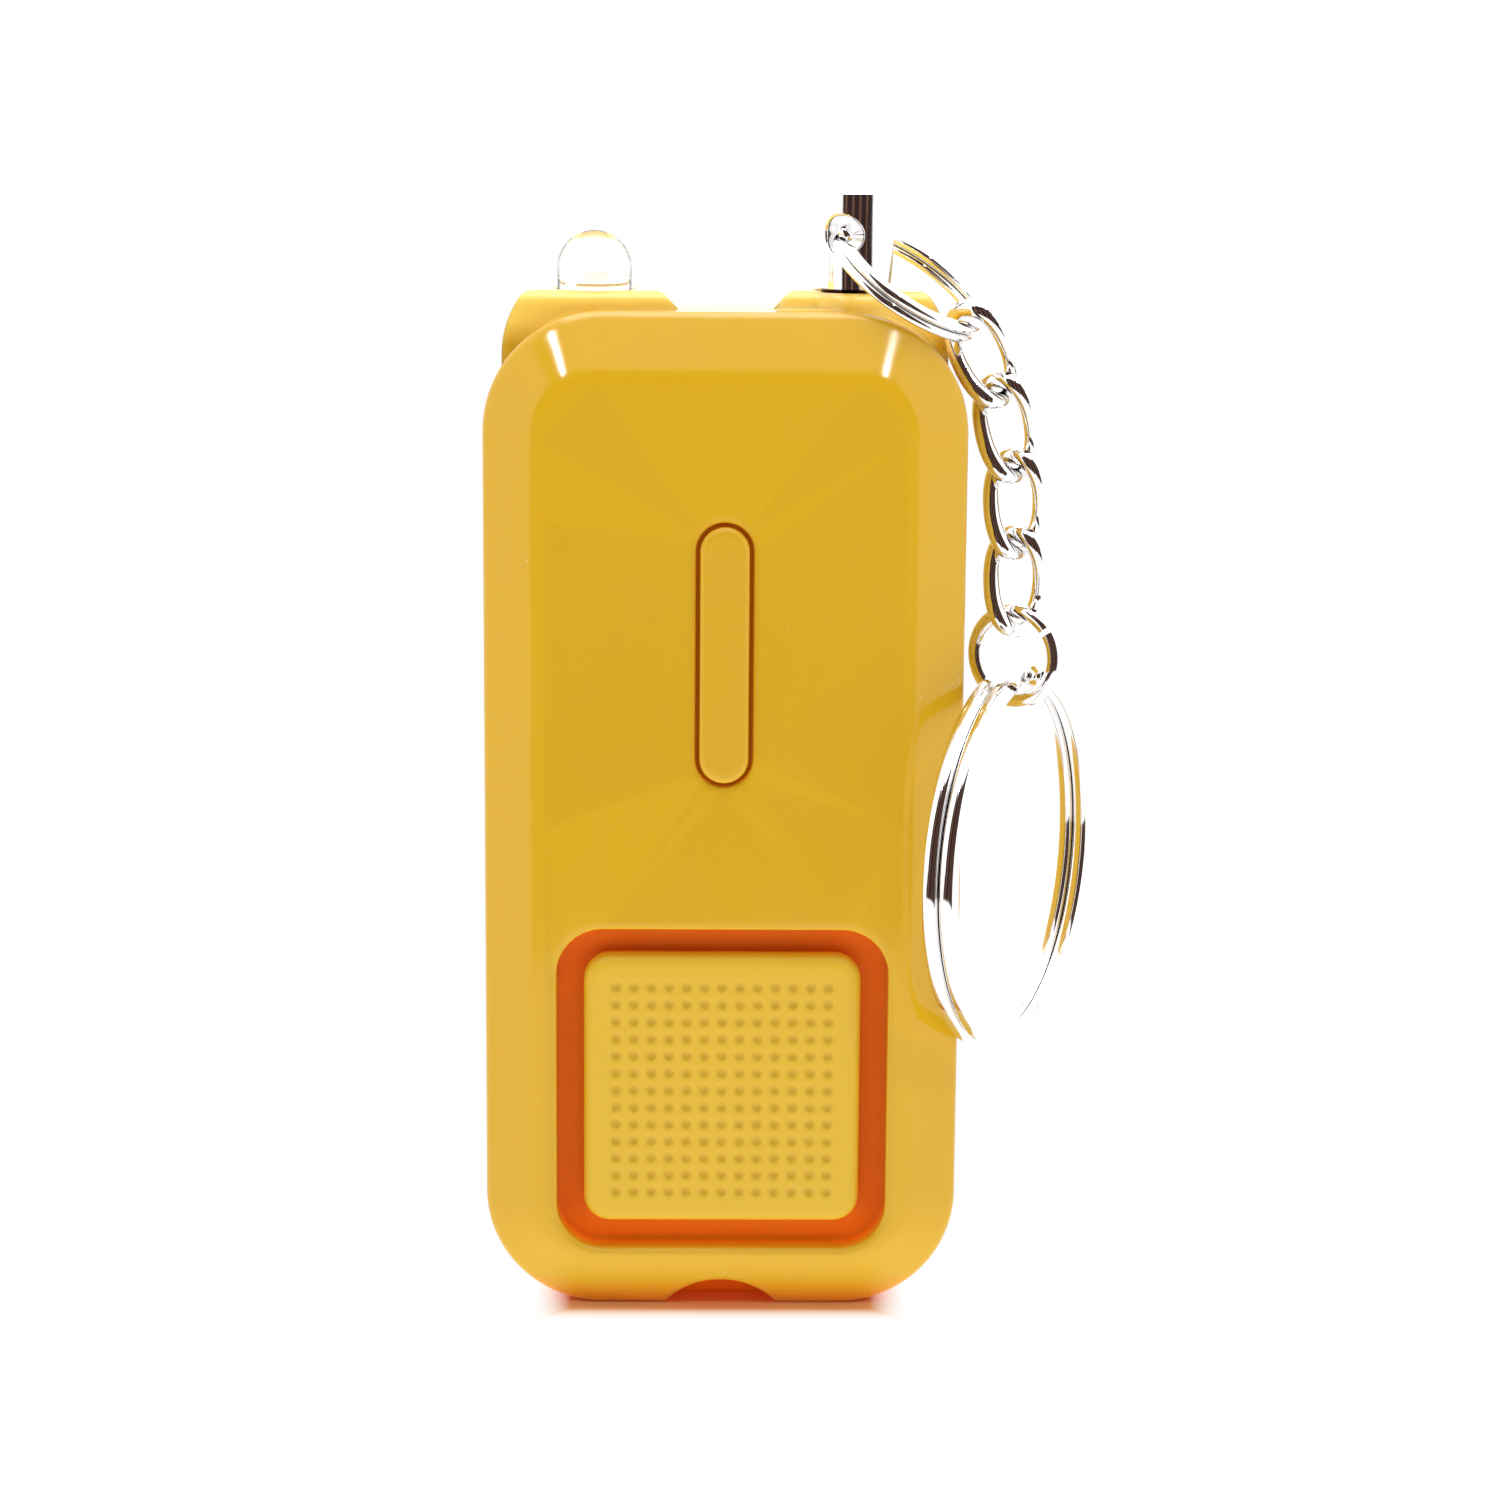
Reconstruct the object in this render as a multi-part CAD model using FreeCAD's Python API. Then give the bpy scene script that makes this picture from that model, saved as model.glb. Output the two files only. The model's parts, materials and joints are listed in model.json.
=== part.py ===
"""Pocket personal alarm with a torch, a siren and a pull pin on a key chain.

Millimetres. X runs to the right, Y to the back and Z up, and the origin is the middle of the
foot that the alarm stands on. The pin, its ring and the chain hang past the right side.
"""
import FreeCAD
import Part
import math
import os

V = FreeCAD.Vector
X = V(1, 0, 0)
Y = V(0, 1, 0)
Z = V(0, 0, 1)

# Casing
case_width = 38.5
case_height = 81.5
case_depth = 17.5
case_corner = 9.5
wall = 1.6
front_cover_depth = 6.5
front_bevel_side = 4.2
front_bevel_end = 5.0
front_bevel_depth = 2.8
front_face_corner = 4.6
back_bevel_inset = 3.4
back_bevel_depth = 2.2
face_edge_round = 2.4
side_edge_round = 0.8
parting_chamfer = 0.2
lip_height = 1.0
lip_thickness = 0.8
lip_clearance = 0.1
lip_root = 1.2
lip_top_gap = 12.0

# Two shoulders on the rear cover that carry the torch and the pin
shoulder_rise = 1.35
shoulder_inner_inset = 14.1
shoulder_outer_inset = 3.15
shoulder_side_inset = 1.35
shoulder_curve = 7.9
torch_shoulder_front = -2.0
pin_shoulder_front = -0.6
shoulder_back = 6.5
shoulder_round = 1.25
post_inset = 8.65
post_y = 2.2
post_boss_radius = 4.3

# Siren opening: a square pocket with a raised square grille standing in it
pocket_size = 26.8
pocket_corner = 3.8
pocket_depth = 3.0
pocket_wall = 1.3
pocket_rim_round = 0.25
pocket_z = 18.9
sound_hole_radius = 6.0
grille_size = 22.4
grille_corner = 2.1
grille_thickness = 1.7
grille_edge_round = 0.9
grille_sink = 0.3
peg_radius = 0.9
peg_spread = 8.4
peg_clearance = 0.05
dimple_count = 13
dimple_pitch = 1.43
dimple_radius = 0.42
dimple_depth = 0.22

# Nail notch in the bottom edge
notch_radius = 5.6
notch_rise = 2.45
notch_back_wall = 1.0
notch_pad_half = 6.8
notch_pad_roof = 1.2

# Torch button, a long pill in the front face
button_width = 3.9
button_length = 20.5
button_gap = 0.35
button_z = 54.6
button_proud = 0.4
button_round = 0.35
button_flange = 0.8
button_flange_thickness = 0.8
button_post_radius = 1.3
button_travel = 0.4
running_gap = 0.05

# Circuit board and what it carries
board_side_room = 4.75
board_head_room = 5.1
board_foot_room = 0.4
board_thickness = 1.0
board_corner = 2.5
board_space = 3.7
board_boss_gap = 0.2
switch_size = 5.2
switch_height = 1.5
plunger_radius = 1.2
plunger_reach = 0.6
plunger_depth = 0.9
coil_side_inset = 6.3
coil_z = 54.5
coil_radius = 3.4
coil_height = 5.0
coil_flange = 0.7
coil_core_radius = 1.9
coil_winding_radius = 3.1
chip_x = 1.5
chip_z = 60.5
chip_width = 4.0
chip_length = 5.0
chip_height = 1.5
chip_lift = 0.1
chip_leg = 0.4
chip_leg_count = 4
chip_leg_reach = 0.9
chip_leg_thickness = 0.3
small_part_pitch = 2.6
small_part_count = 4
small_part_drop = 2.2
small_part_width = 1.2
small_part_length = 2.0
small_part_height = 0.7
board_post_radius = 1.5
board_post_side = 2.2
board_post_inset = 3.2

# Torch lamp
lamp_radius = 3.0
lamp_hole_gap = 0.2
lamp_rise = 4.7
lamp_flange_radius = 3.5
lamp_flange_thickness = 0.8
lead_size = 0.5
lead_spread = 1.27
lead_bend_drop = 11.35
anvil_height = 3.4
anvil_step = 1.2
cup_radius = 0.9
cup_foot_radius = 0.55
cup_height = 0.8
bowl_radius = 0.7
bowl_foot_radius = 0.3

# Pull pin and its socket
pin_radius = 2.9
pin_hole_gap = 0.6
pin_rise = 8.05
pin_head_depth = 4.8
pin_stem_radius = 1.6
pin_length_inside = 17.5
pin_tip = 1.4
pin_edge = 0.3
pin_eye_radius = 1.6
pin_eye_drop = 3.6
pin_eye_turn = 30.0
socket_wall = 1.1
socket_gap = 0.08
socket_reach = 11.85
leaf_thickness = 0.3
leaf_width = 3.0
leaf_gap = 0.55
leaf_head_gap = 0.6
leaf_reach = 12.4
leaf_base_height = 3.0
leaf_base_width = 4.4
leaf_pivot_rise = 0.15
leaf_foot_gap = 0.05
leaf_swing = 10.2

# Battery: three button cells behind a screwed door
cell_radius = 5.8
cell_height = 5.4
cell_count = 3
cell_rim = 0.6
cell_step = 0.3
cell_rise = 8.7
cell_y = 1.5
cradle_wall = 1.0
cell_clearance = 0.2
contact_thickness = 0.3
contact_width = 5.0
contact_leg_width = 1.6
contact_space = 0.8
door_width = 21.0
door_below_cells = 9.5
door_above_cells = 15.5
door_thickness = 1.1
door_corner = 2.0
door_gap = 0.15
door_ledge = 1.2
door_land = 2.2
door_boss_radius = 3.0
door_boss_depth = 1.4
door_screw_inset = 3.3
door_grip_count = 3
door_grip_pitch = 1.6
door_grip_rise = 2.5
door_grip_width = 0.8
door_grip_half = 5.0
door_grip_depth = 0.4
screw_boss_radius = 4.0

# Screws
screw_head_radius = 2.0
screw_head_height = 1.3
screw_shank_radius = 1.0
screw_slot_width = 0.5
screw_slot_depth = 0.6
screw_play = 0.25
screw_hole_play = 0.05
screw_hole_spare = 0.3
case_screw_side_inset = 6.05
case_screw_side_rise = 4.7
case_screw_top_drop = 8.1
case_screw_bore = 5.0
case_screw_bite = 3.4
case_boss_radius = 2.2
door_screw_bite = 3.4

# Siren parts behind the pocket
chamber_radius = 12.6
chamber_throat_radius = 9.6
chamber_throat_depth = 1.8
disc_radius = 11.0
disc_thickness = 0.3
disc_play = 0.2
ceramic_radius = 6.6
ceramic_thickness = 0.25
gasket_thickness = 0.9
gasket_width = 1.6
retainer_thickness = 0.8
retainer_width = 2.6
lead_wire_radius = 0.3
lead_wire_bend = 0.9
lead_wire_x = 10.45
lead_wire_rear_y = 1.4
lead_wire_front_y = 0.2
lead_wire_rear_z = 52.0
lead_wire_front_z = 50.4

# Small split ring through the pin, curb chain, jump ring and key ring
pin_ring_radius = 7.1
pin_ring_wire = 1.2
pin_ring_coil = 0.78
pin_ring_drop = 36.0
pin_ring_offset = 0.4
pin_ring_step = 30.0
ring_turn_gap = 0.05
ring_step_angle = 24.0
wire_edge = 0.22
link_wire = 1.45
link_length = 9.3
link_width = 5.4
link_twist = 45.0
link_fullness = 0.45
link_slack = 0.16
link_tilts = (24.0, 11.0, 2.0, 0.0)
hook_lift = 1.9
hook_angle = 7.0
jump_ring_radius = 4.3
jump_ring_wire = 1.25
jump_ring_gap = 7.0
jump_ring_turn = 35.0
jump_ring_joint = 40.0
key_ring_radius = 15.8
key_ring_wire = 1.6
key_ring_coil = 1.4
key_ring_turn = 63.6
key_ring_step = 282.0

# How far a cutting shape runs past a face, and what keeps a round end short of a full half circle
over = 1.0
end_round = 0.001

# Places that follow from the sizes
front_y = -case_depth / 2
back_y = case_depth / 2
parting_y = front_y + front_cover_depth
mid_z = case_height / 2
inner_front_y = front_y + wall
inner_back_y = back_y - wall
top_z = case_height + shoulder_rise
ceiling_z = case_height - wall
pocket_floor_y = front_y + pocket_depth
pocket_back_y = pocket_floor_y + pocket_wall
socket_radius = pin_radius + socket_gap + socket_wall
half_width = case_width / 2
shoulder_inner = half_width - shoulder_inner_inset
shoulder_outer = half_width - shoulder_outer_inset
shoulder_side = half_width - shoulder_side_inset
post_x = half_width - post_inset
pocket_top = pocket_z + pocket_size / 2
case_screw_side_x = half_width - case_screw_side_inset
case_screw_side_z = pocket_top + case_screw_side_rise
case_screw_top_z = case_height - case_screw_top_drop
cell_z = pocket_top + cell_rise
door_bottom = cell_z - door_below_cells
door_top = cell_z + door_above_cells
board_width = case_width - 2 * board_side_room
board_bottom = cell_z + cell_radius + cell_clearance + cradle_wall + board_foot_room
board_top = case_height - board_head_room
board_post_x = board_width / 2 - board_post_side
coil_x = coil_side_inset - board_width / 2
lead_bend_z = top_z - lead_bend_drop
socket_bottom = top_z - socket_reach
leaf_top = socket_bottom - leaf_head_gap
leaf_base_bottom = leaf_top - leaf_reach
leaf_base_top = leaf_base_bottom + leaf_base_height


def rounded_outline(width, height, radius, centre_z, y, centre_x=0.0):
    """A closed rounded rectangle in the XZ plane at depth y."""
    w, h, r = width / 2, height / 2, radius
    c = math.cos(math.pi / 4)
    edges = []
    corners = ((1, 1, 90), (-1, 1, 180), (-1, -1, 270), (1, -1, 360))
    ends = []
    for sx, sz, _ in corners:
        cx, cz = centre_x + sx * (w - r), centre_z + sz * (h - r)
        on_side = V(cx + sx * r, y, cz)
        on_end = V(cx, y, cz + sz * r)
        middle = V(cx + sx * r * c, y, cz + sz * r * c)
        start, stop = (on_side, on_end) if sx * sz > 0 else (on_end, on_side)
        ends.append((start, middle, stop))
    for i, (start, middle, stop) in enumerate(ends):
        edges.append(Part.Arc(start, middle, stop).toShape())
        following = ends[(i + 1) % 4][0]
        if (following - stop).Length > 1e-6:
            edges.append(Part.LineSegment(stop, following).toShape())
    return Part.Wire(edges)


def slab(outline, depth):
    """The outline's face pushed back by depth."""
    return Part.Face(outline).extrude(V(0, depth, 0))


def box(x0, x1, y0, y1, z0, z1):
    return Part.makeBox(x1 - x0, y1 - y0, z1 - z0, V(x0, y0, z0))


def rod(radius, start, direction, length):
    return Part.makeCylinder(radius, length, start, direction)


def rod_y(radius, x, z, y0, y1):
    return rod(radius, V(x, y0, z), Y, y1 - y0)


def rod_z(radius, x, y, z0, z1):
    return rod(radius, V(x, y, z0), Z, z1 - z0)


def edges_at_y(shape, y):
    """Edges that lie in the plane at depth y."""
    return [e for e in shape.Edges if abs(e.BoundBox.YMin - y) < 1e-4 and abs(e.BoundBox.YMax - y) < 1e-4]


def bevelled_block(width, height, corner, inset_x, inset_z, face_corner, face_y, step_y, rim_y):
    """A rounded slab whose face edge is cut back by a broad bevel."""
    face = rounded_outline(width - 2 * inset_x, height - 2 * inset_z, face_corner, mid_z, face_y)
    step = rounded_outline(width, height, corner, mid_z, step_y)
    cap = Part.makeLoft([face, step], True, True)
    return cap.fuse(slab(step, rim_y - step_y)).removeSplitter()


def inner_block(inset_x, inset_z, face_corner, face_y, bevel_depth, rim_y):
    """The hollow that leaves one wall thickness behind a bevelled face."""
    way = 1.0 if rim_y > face_y else -1.0
    angle = math.atan2(bevel_depth, (inset_x + inset_z) / 2)
    shrink = wall * math.tan(angle / 2)
    run = wall * math.tan((math.pi / 2 - angle) / 2)
    return bevelled_block(
        case_width - 2 * wall,
        case_height - 2 * wall,
        case_corner - wall,
        inset_x - wall + shrink,
        inset_z - wall + shrink,
        max(face_corner - shrink, 0.5),
        face_y + way * wall,
        face_y + way * (bevel_depth + run),
        rim_y,
    )


def arc_between(start, tangent, end):
    """An arc that leaves start along tangent and reaches end, and its tangent there."""
    chord = end - start
    along = V(chord).normalize()
    t = V(tangent).normalize()
    side = t - along * t.dot(along)
    if side.Length < 1e-7:
        return Part.LineSegment(start, end).toShape(), t
    angle = math.acos(max(-1.0, min(1.0, t.dot(along))))
    rise = chord.Length / 2 * math.tan(angle / 2)
    middle = (start + end) * 0.5 + V(side).normalize() * rise
    leaving = along * (2 * t.dot(along)) - t
    return Part.Arc(start, middle, end).toShape(), leaving


def biarc(p0, t0, p1, t1):
    """Two tangent arcs from p0 along t0 to p1 along t1."""
    v = p1 - p0
    s = t0 + t1
    a = 2 * (1 - t0.dot(t1))
    b = v.dot(s)
    d = v.dot(v) / (2 * b) if a < 1e-9 else (-b + math.sqrt(b * b + a * v.dot(v))) / a
    joint = (p0 + t0 * d + p1 - t1 * d) * 0.5
    first, tangent = arc_between(p0, t0, joint)
    second, _ = arc_between(joint, tangent, p1)
    return [first, second]


def swept_wire(path, radius, start, tangent):
    """A round wire along a path of tangent arcs and lines."""
    profile = Part.Wire(Part.Circle(start, tangent, radius).toShape())
    return path.makePipeShell([profile], True, False)


def bent_wire(points, bend, radius):
    """A round wire through points, with an arc of the bend radius at each corner."""
    edges = []
    here = points[0]
    for before, corner, after in zip(points, points[1:], points[2:]):
        a = (before - corner).normalize()
        b = (after - corner).normalize()
        half = a.getAngle(b) / 2
        back = bend / math.tan(half)
        start, stop = corner + a * back, corner + b * back
        middle = corner + (a + b).normalize() * (bend / math.sin(half) - bend)
        edges.append(Part.LineSegment(here, start).toShape())
        edges.append(Part.Arc(start, middle, stop).toShape())
        here = stop
    edges.append(Part.LineSegment(here, points[-1]).toShape())
    return swept_wire(Part.Wire(edges), radius, points[0], points[1] - points[0])


# Front cover

def case_screw_places():
    return [
        (-case_screw_side_x, case_screw_side_z),
        (case_screw_side_x, case_screw_side_z),
        (0.0, case_screw_top_z),
    ]


def peg_places():
    return [(sx * peg_spread, pocket_z + sz * peg_spread) for sx in (-1, 1) for sz in (-1, 1)]


board_front_y = front_y + wall + board_space
board_back_y = board_front_y + board_thickness
case_screw_seat_y = back_y - case_screw_bore
case_screw_tip_y = parting_y - case_screw_bite


def front_cover():
    step_y = front_y + front_bevel_depth
    outer = bevelled_block(
        case_width, case_height, case_corner, front_bevel_side, front_bevel_end,
        front_face_corner, front_y, step_y, parting_y,
    )
    outer = outer.makeFillet(face_edge_round, edges_at_y(outer, front_y))
    outer = outer.makeFillet(side_edge_round, edges_at_y(outer, step_y))
    outer = outer.makeChamfer(parting_chamfer, edges_at_y(outer, parting_y))
    hollow = inner_block(
        front_bevel_side, front_bevel_end, front_face_corner, front_y, front_bevel_depth, parting_y + 1.0,
    )
    cover = outer.cut(hollow)
    boxing = slab(
        rounded_outline(
            pocket_size + 2 * pocket_wall, pocket_size + 2 * pocket_wall,
            pocket_corner + pocket_wall, pocket_z, front_y,
        ),
        pocket_depth + pocket_wall,
    ).common(outer)
    pad = box(
        -notch_pad_half, notch_pad_half, front_y, parting_y, 0, notch_rise + notch_pad_roof,
    ).common(outer)
    extras = [boxing, pad]
    for x, z in case_screw_places():
        extras.append(rod_y(case_boss_radius, x, z, inner_front_y - wall / 2, parting_y))
    for sx in (-1, 1):
        for z in (board_bottom + board_post_inset, board_top - board_post_inset):
            x = sx * board_post_x
            extras.append(rod_y(board_post_radius, x, z, inner_front_y - wall / 2, board_front_y))
    extras.append(lip())
    cover = cover.fuse(extras)
    mouth = rounded_outline(pocket_size, pocket_size, pocket_corner, pocket_z, front_y - over)
    pocket = slab(mouth, pocket_depth + over)
    slot = slab(
        rounded_outline(
            button_width + 2 * button_gap, button_length + 2 * button_gap,
            button_width / 2 + button_gap - end_round, button_z, front_y - over,
        ),
        wall + 2 * over,
    )
    cuts = [pocket, slot, rod_y(sound_hole_radius, 0, pocket_z, pocket_floor_y - over, pocket_back_y + over)]
    for x, z in peg_places():
        cuts.append(rod_y(peg_radius + peg_clearance, x, z, pocket_floor_y - over, pocket_back_y + over))
    for x, z in case_screw_places():
        bottom_y = case_screw_tip_y - screw_hole_spare
        cuts.append(rod_y(screw_shank_radius + screw_hole_play, x, z, bottom_y, parting_y + over))
    notch_z = notch_rise - notch_radius
    cuts.append(rod_y(notch_radius, 0, notch_z, front_y - over, parting_y - notch_back_wall))
    cover = cover.cut(cuts).removeSplitter()
    rims = [e for e in edges_at_y(cover, front_y) if inside_pocket_rim(e) or inside_button_rim(e)]
    return cover.makeFillet(pocket_rim_round, rims)


def inside_pocket_rim(edge):
    b = edge.BoundBox
    reach = pocket_size / 2 + 0.01
    return b.ZMax < pocket_z + reach and b.ZMin > pocket_z - reach and b.XMax < reach and b.XMin > -reach


def inside_button_rim(edge):
    b = edge.BoundBox
    return b.XMax < button_width and b.XMin > -button_width and b.ZMin > pocket_z + pocket_size / 2


def case_outline(inset, y):
    """The casing's outline, drawn in by inset."""
    return rounded_outline(
        case_width - 2 * inset, case_height - 2 * inset, case_corner - inset, mid_z, y,
    )


def lip():
    """The tongue inside the joint, left open at the top where the shoulders are."""
    gap = wall + lip_clearance
    foot_y = parting_y - lip_root
    outer = case_outline(gap, foot_y)
    inner = case_outline(gap + lip_thickness, foot_y - over)
    root = case_outline(wall / 2, foot_y)
    ring = slab(outer, lip_root + lip_height).fuse(slab(root, lip_root))
    ring = ring.cut(slab(inner, lip_root + lip_height + 2 * over))
    above = box(-case_width, case_width, front_y, back_y, case_height - lip_top_gap, top_z)
    return ring.cut(above)


# Rear cover

def shoulder(side, y):
    """One raised shoulder: a curved block from depth y back, with a round boss about the post."""
    centre_x = shoulder_side - shoulder_curve
    reach = math.acos((shoulder_outer - centre_x) / shoulder_curve)
    centre_z = top_z - shoulder_curve * math.sin(reach)
    base_z = case_height - case_corner
    foot_x = shoulder_inner - shoulder_rise
    half = reach / 2

    def at(x, z):
        return V(side * x, y, z)

    a, b = at(shoulder_side, base_z), at(shoulder_side, centre_z)
    middle = at(centre_x + shoulder_curve * math.cos(half), centre_z + shoulder_curve * math.sin(half))
    c, d = at(shoulder_outer, top_z), at(shoulder_inner, top_z)
    e, f = at(foot_x, case_height), at(foot_x, base_z)
    profile = Part.Wire([
        Part.LineSegment(a, b).toShape(),
        Part.Arc(b, middle, c).toShape(),
        Part.LineSegment(c, d).toShape(),
        Part.LineSegment(d, e).toShape(),
        Part.LineSegment(e, f).toShape(),
        Part.LineSegment(f, a).toShape(),
    ])
    block = slab(profile, shoulder_back - y)
    boss = rod_z(post_boss_radius, side * post_x, post_y, base_z, top_z)
    form = block.fuse(boss).removeSplitter()
    top_edges = [
        edge for edge in form.Edges
        if abs(edge.BoundBox.ZMin - top_z) < 1e-4 and abs(edge.BoundBox.ZMax - top_z) < 1e-4
    ]
    return form.makeFillet(shoulder_round, top_edges)


door_mid_z = (door_bottom + door_top) / 2
door_height = door_top - door_bottom
door_inner_y = back_y - door_thickness
door_floor_y = door_inner_y - running_gap
door_pad_y = door_floor_y - door_ledge
door_screw_z = door_top - door_screw_inset
door_screw_seat_y = back_y - screw_head_height - 0.2
door_screw_tip_y = door_screw_seat_y - door_screw_bite - door_boss_depth
cell_bay_half_x = cell_count * cell_height / 2 + contact_space
cell_bay_half_z = cell_radius + cell_clearance


def rear_cover():
    step_y = back_y - back_bevel_depth
    face_corner = case_corner - back_bevel_inset
    outer = bevelled_block(
        case_width, case_height, case_corner, back_bevel_inset, back_bevel_inset,
        face_corner, back_y, step_y, parting_y,
    )
    outer = outer.makeFillet(side_edge_round, edges_at_y(outer, back_y) + edges_at_y(outer, step_y))
    outer = outer.makeChamfer(parting_chamfer, edges_at_y(outer, parting_y))
    outer = outer.fuse([shoulder(-1, torch_shoulder_front), shoulder(1, pin_shoulder_front)])
    hollow = inner_block(
        back_bevel_inset, back_bevel_inset, face_corner, back_y, back_bevel_depth, parting_y - 3.0,
    )
    cover = outer.cut(hollow)
    land = box(
        -door_width / 2 - door_land, door_width / 2 + door_land, door_pad_y, inner_back_y + 0.1,
        door_bottom - door_land, door_top + door_land,
    )
    extras = [land]
    for x, z in case_screw_places():
        extras.append(rod_y(case_boss_radius, x, z, parting_y, inner_back_y + 0.1))
    boss_end_y = door_screw_tip_y - screw_hole_spare - lip_thickness
    extras.append(rod_y(screw_boss_radius, 0, door_screw_z, boss_end_y, door_floor_y))
    cover = cover.fuse(extras)
    recess = slab(
        rounded_outline(
            door_width + 2 * door_gap, door_height + 2 * door_gap, door_corner + door_gap,
            door_mid_z, door_floor_y,
        ),
        back_y - door_floor_y + over,
    )
    bay = box(
        -cell_bay_half_x, cell_bay_half_x, door_pad_y - over, back_y,
        cell_z - cell_bay_half_z, cell_z + cell_bay_half_z,
    )
    cuts = [
        recess,
        bay,
        rod_z(lamp_radius + lamp_hole_gap, -post_x, post_y, socket_bottom, top_z + over),
        rod_z(pin_radius + pin_hole_gap, post_x, post_y, socket_bottom, top_z + over),
        rod_z(lamp_flange_radius + running_gap, -post_x, post_y, socket_bottom, ceiling_z),
        rod_z(socket_radius + running_gap, post_x, post_y, socket_bottom - over, ceiling_z),
        rod_y(
            door_boss_radius + door_gap, 0, door_screw_z,
            door_inner_y - door_boss_depth - running_gap, back_y,
        ),
        rod_y(
            screw_shank_radius + screw_hole_play, 0, door_screw_z,
            door_screw_tip_y - screw_hole_spare, back_y,
        ),
    ]
    for x, z in case_screw_places():
        cuts.append(rod_y(screw_head_radius + screw_play, x, z, case_screw_seat_y, back_y + over))
        cuts.append(rod_y(screw_shank_radius + screw_play, x, z, parting_y - over, back_y))
    return cover.cut(cuts).removeSplitter()


# Grille and torch button

def grille():
    """The square plate on four pegs, with its grid of dimples."""
    face_y = front_y + grille_sink
    plate = slab(rounded_outline(grille_size, grille_size, grille_corner, pocket_z, face_y), grille_thickness)
    plate = plate.makeFillet(grille_edge_round, edges_at_y(plate, face_y))
    pegs = [rod_y(peg_radius, x, z, face_y + grille_thickness / 2, pocket_back_y) for x, z in peg_places()]
    shoulders = [
        rod_y(2 * peg_radius, x, z, face_y + grille_thickness / 2, pocket_floor_y) for x, z in peg_places()
    ]
    plate = plate.fuse(pegs + shoulders).removeSplitter()
    first = -(dimple_count - 1) / 2 * dimple_pitch
    dimples = []
    for i in range(dimple_count):
        for j in range(dimple_count):
            x = first + i * dimple_pitch
            z = pocket_z + first + j * dimple_pitch
            dimples.append(Part.makeCone(dimple_radius, dimple_radius / 2, dimple_depth, V(x, face_y, z), Y))
    return plate.cut(dimples)


button_flange_y = inner_front_y + running_gap
switch_face_y = board_front_y - switch_height
plunger_face_y = switch_face_y - plunger_reach


def torch_button():
    face_y = front_y - button_proud
    pill = slab(
        rounded_outline(button_width, button_length, button_width / 2 - end_round, button_z, face_y),
        button_flange_y - face_y + button_flange_thickness / 2,
    )
    pill = pill.makeFillet(button_round, edges_at_y(pill, face_y))
    spread = 2 * (button_gap + button_flange)
    flange = slab(
        rounded_outline(
            button_width + spread, button_length + spread, (button_width + spread) / 2 - end_round,
            button_z, button_flange_y,
        ),
        button_flange_thickness,
    )
    post = rod_y(button_post_radius, 0, button_z, button_flange_y, plunger_face_y - running_gap)
    return pill.fuse([flange, post]).removeSplitter()


# Circuit board and its parts

def circuit_board():
    board = slab(
        rounded_outline(
            board_width, board_top - board_bottom, board_corner,
            (board_top + board_bottom) / 2, board_front_y,
        ),
        board_thickness,
    )
    boss = rod_y(case_boss_radius + board_boss_gap, 0, case_screw_top_z, board_front_y, board_back_y)
    return board.cut(boss)


def tact_switch():
    half = switch_size / 2
    body = box(-half, half, switch_face_y, board_front_y, button_z - half, button_z + half)
    well_y = plunger_face_y + plunger_depth + button_travel + 2 * running_gap
    return body.cut(rod_y(plunger_radius + running_gap, 0, button_z, switch_face_y - over, well_y))


def tact_plunger():
    return rod_y(plunger_radius, 0, button_z, plunger_face_y, plunger_face_y + plunger_depth)


def boost_coil():
    """The bobbin with its two flanges, and the copper wound between them."""
    front = board_back_y + coil_flange
    back = board_back_y + coil_height - coil_flange
    core = rod_y(coil_core_radius, coil_x, coil_z, board_back_y, back + coil_flange)
    bobbin = rod_y(coil_radius, coil_x, coil_z, board_back_y, front)
    bobbin = bobbin.fuse([core, rod_y(coil_radius, coil_x, coil_z, back, back + coil_flange)])
    winding = rod_y(coil_winding_radius, coil_x, coil_z, front, back).cut(core)
    return bobbin.removeSplitter(), winding


def siren_chip():
    """A chip body on two rows of legs."""
    half_x, half_z = chip_width / 2, chip_length / 2
    body = box(
        chip_x - half_x, chip_x + half_x, board_back_y + chip_lift, board_back_y + chip_height,
        chip_z - half_z, chip_z + half_z,
    )
    reach = half_x + chip_leg_reach
    legs = []
    for i in range(chip_leg_count):
        z = chip_z + (i - (chip_leg_count - 1) / 2) * chip_length / chip_leg_count
        legs.append(
            box(
                chip_x - reach, chip_x + reach, board_back_y, board_back_y + chip_leg_thickness,
                z - chip_leg / 2, z + chip_leg / 2,
            )
        )
    return body.fuse(legs).removeSplitter()


def small_parts():
    """A row of small chip parts below the driver chip."""
    z = chip_z - chip_length / 2 - small_part_drop
    parts = []
    for i in range(small_part_count):
        x = chip_x + (i - (small_part_count - 1) / 2) * small_part_pitch
        parts.append(
            box(
                x - small_part_width / 2, x + small_part_width / 2,
                board_back_y, board_back_y + small_part_height,
                z - small_part_length / 2, z + small_part_length / 2,
            )
        )
    return Part.Compound(parts)


# Torch lamp

lamp_flange_top = ceiling_z - running_gap


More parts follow.
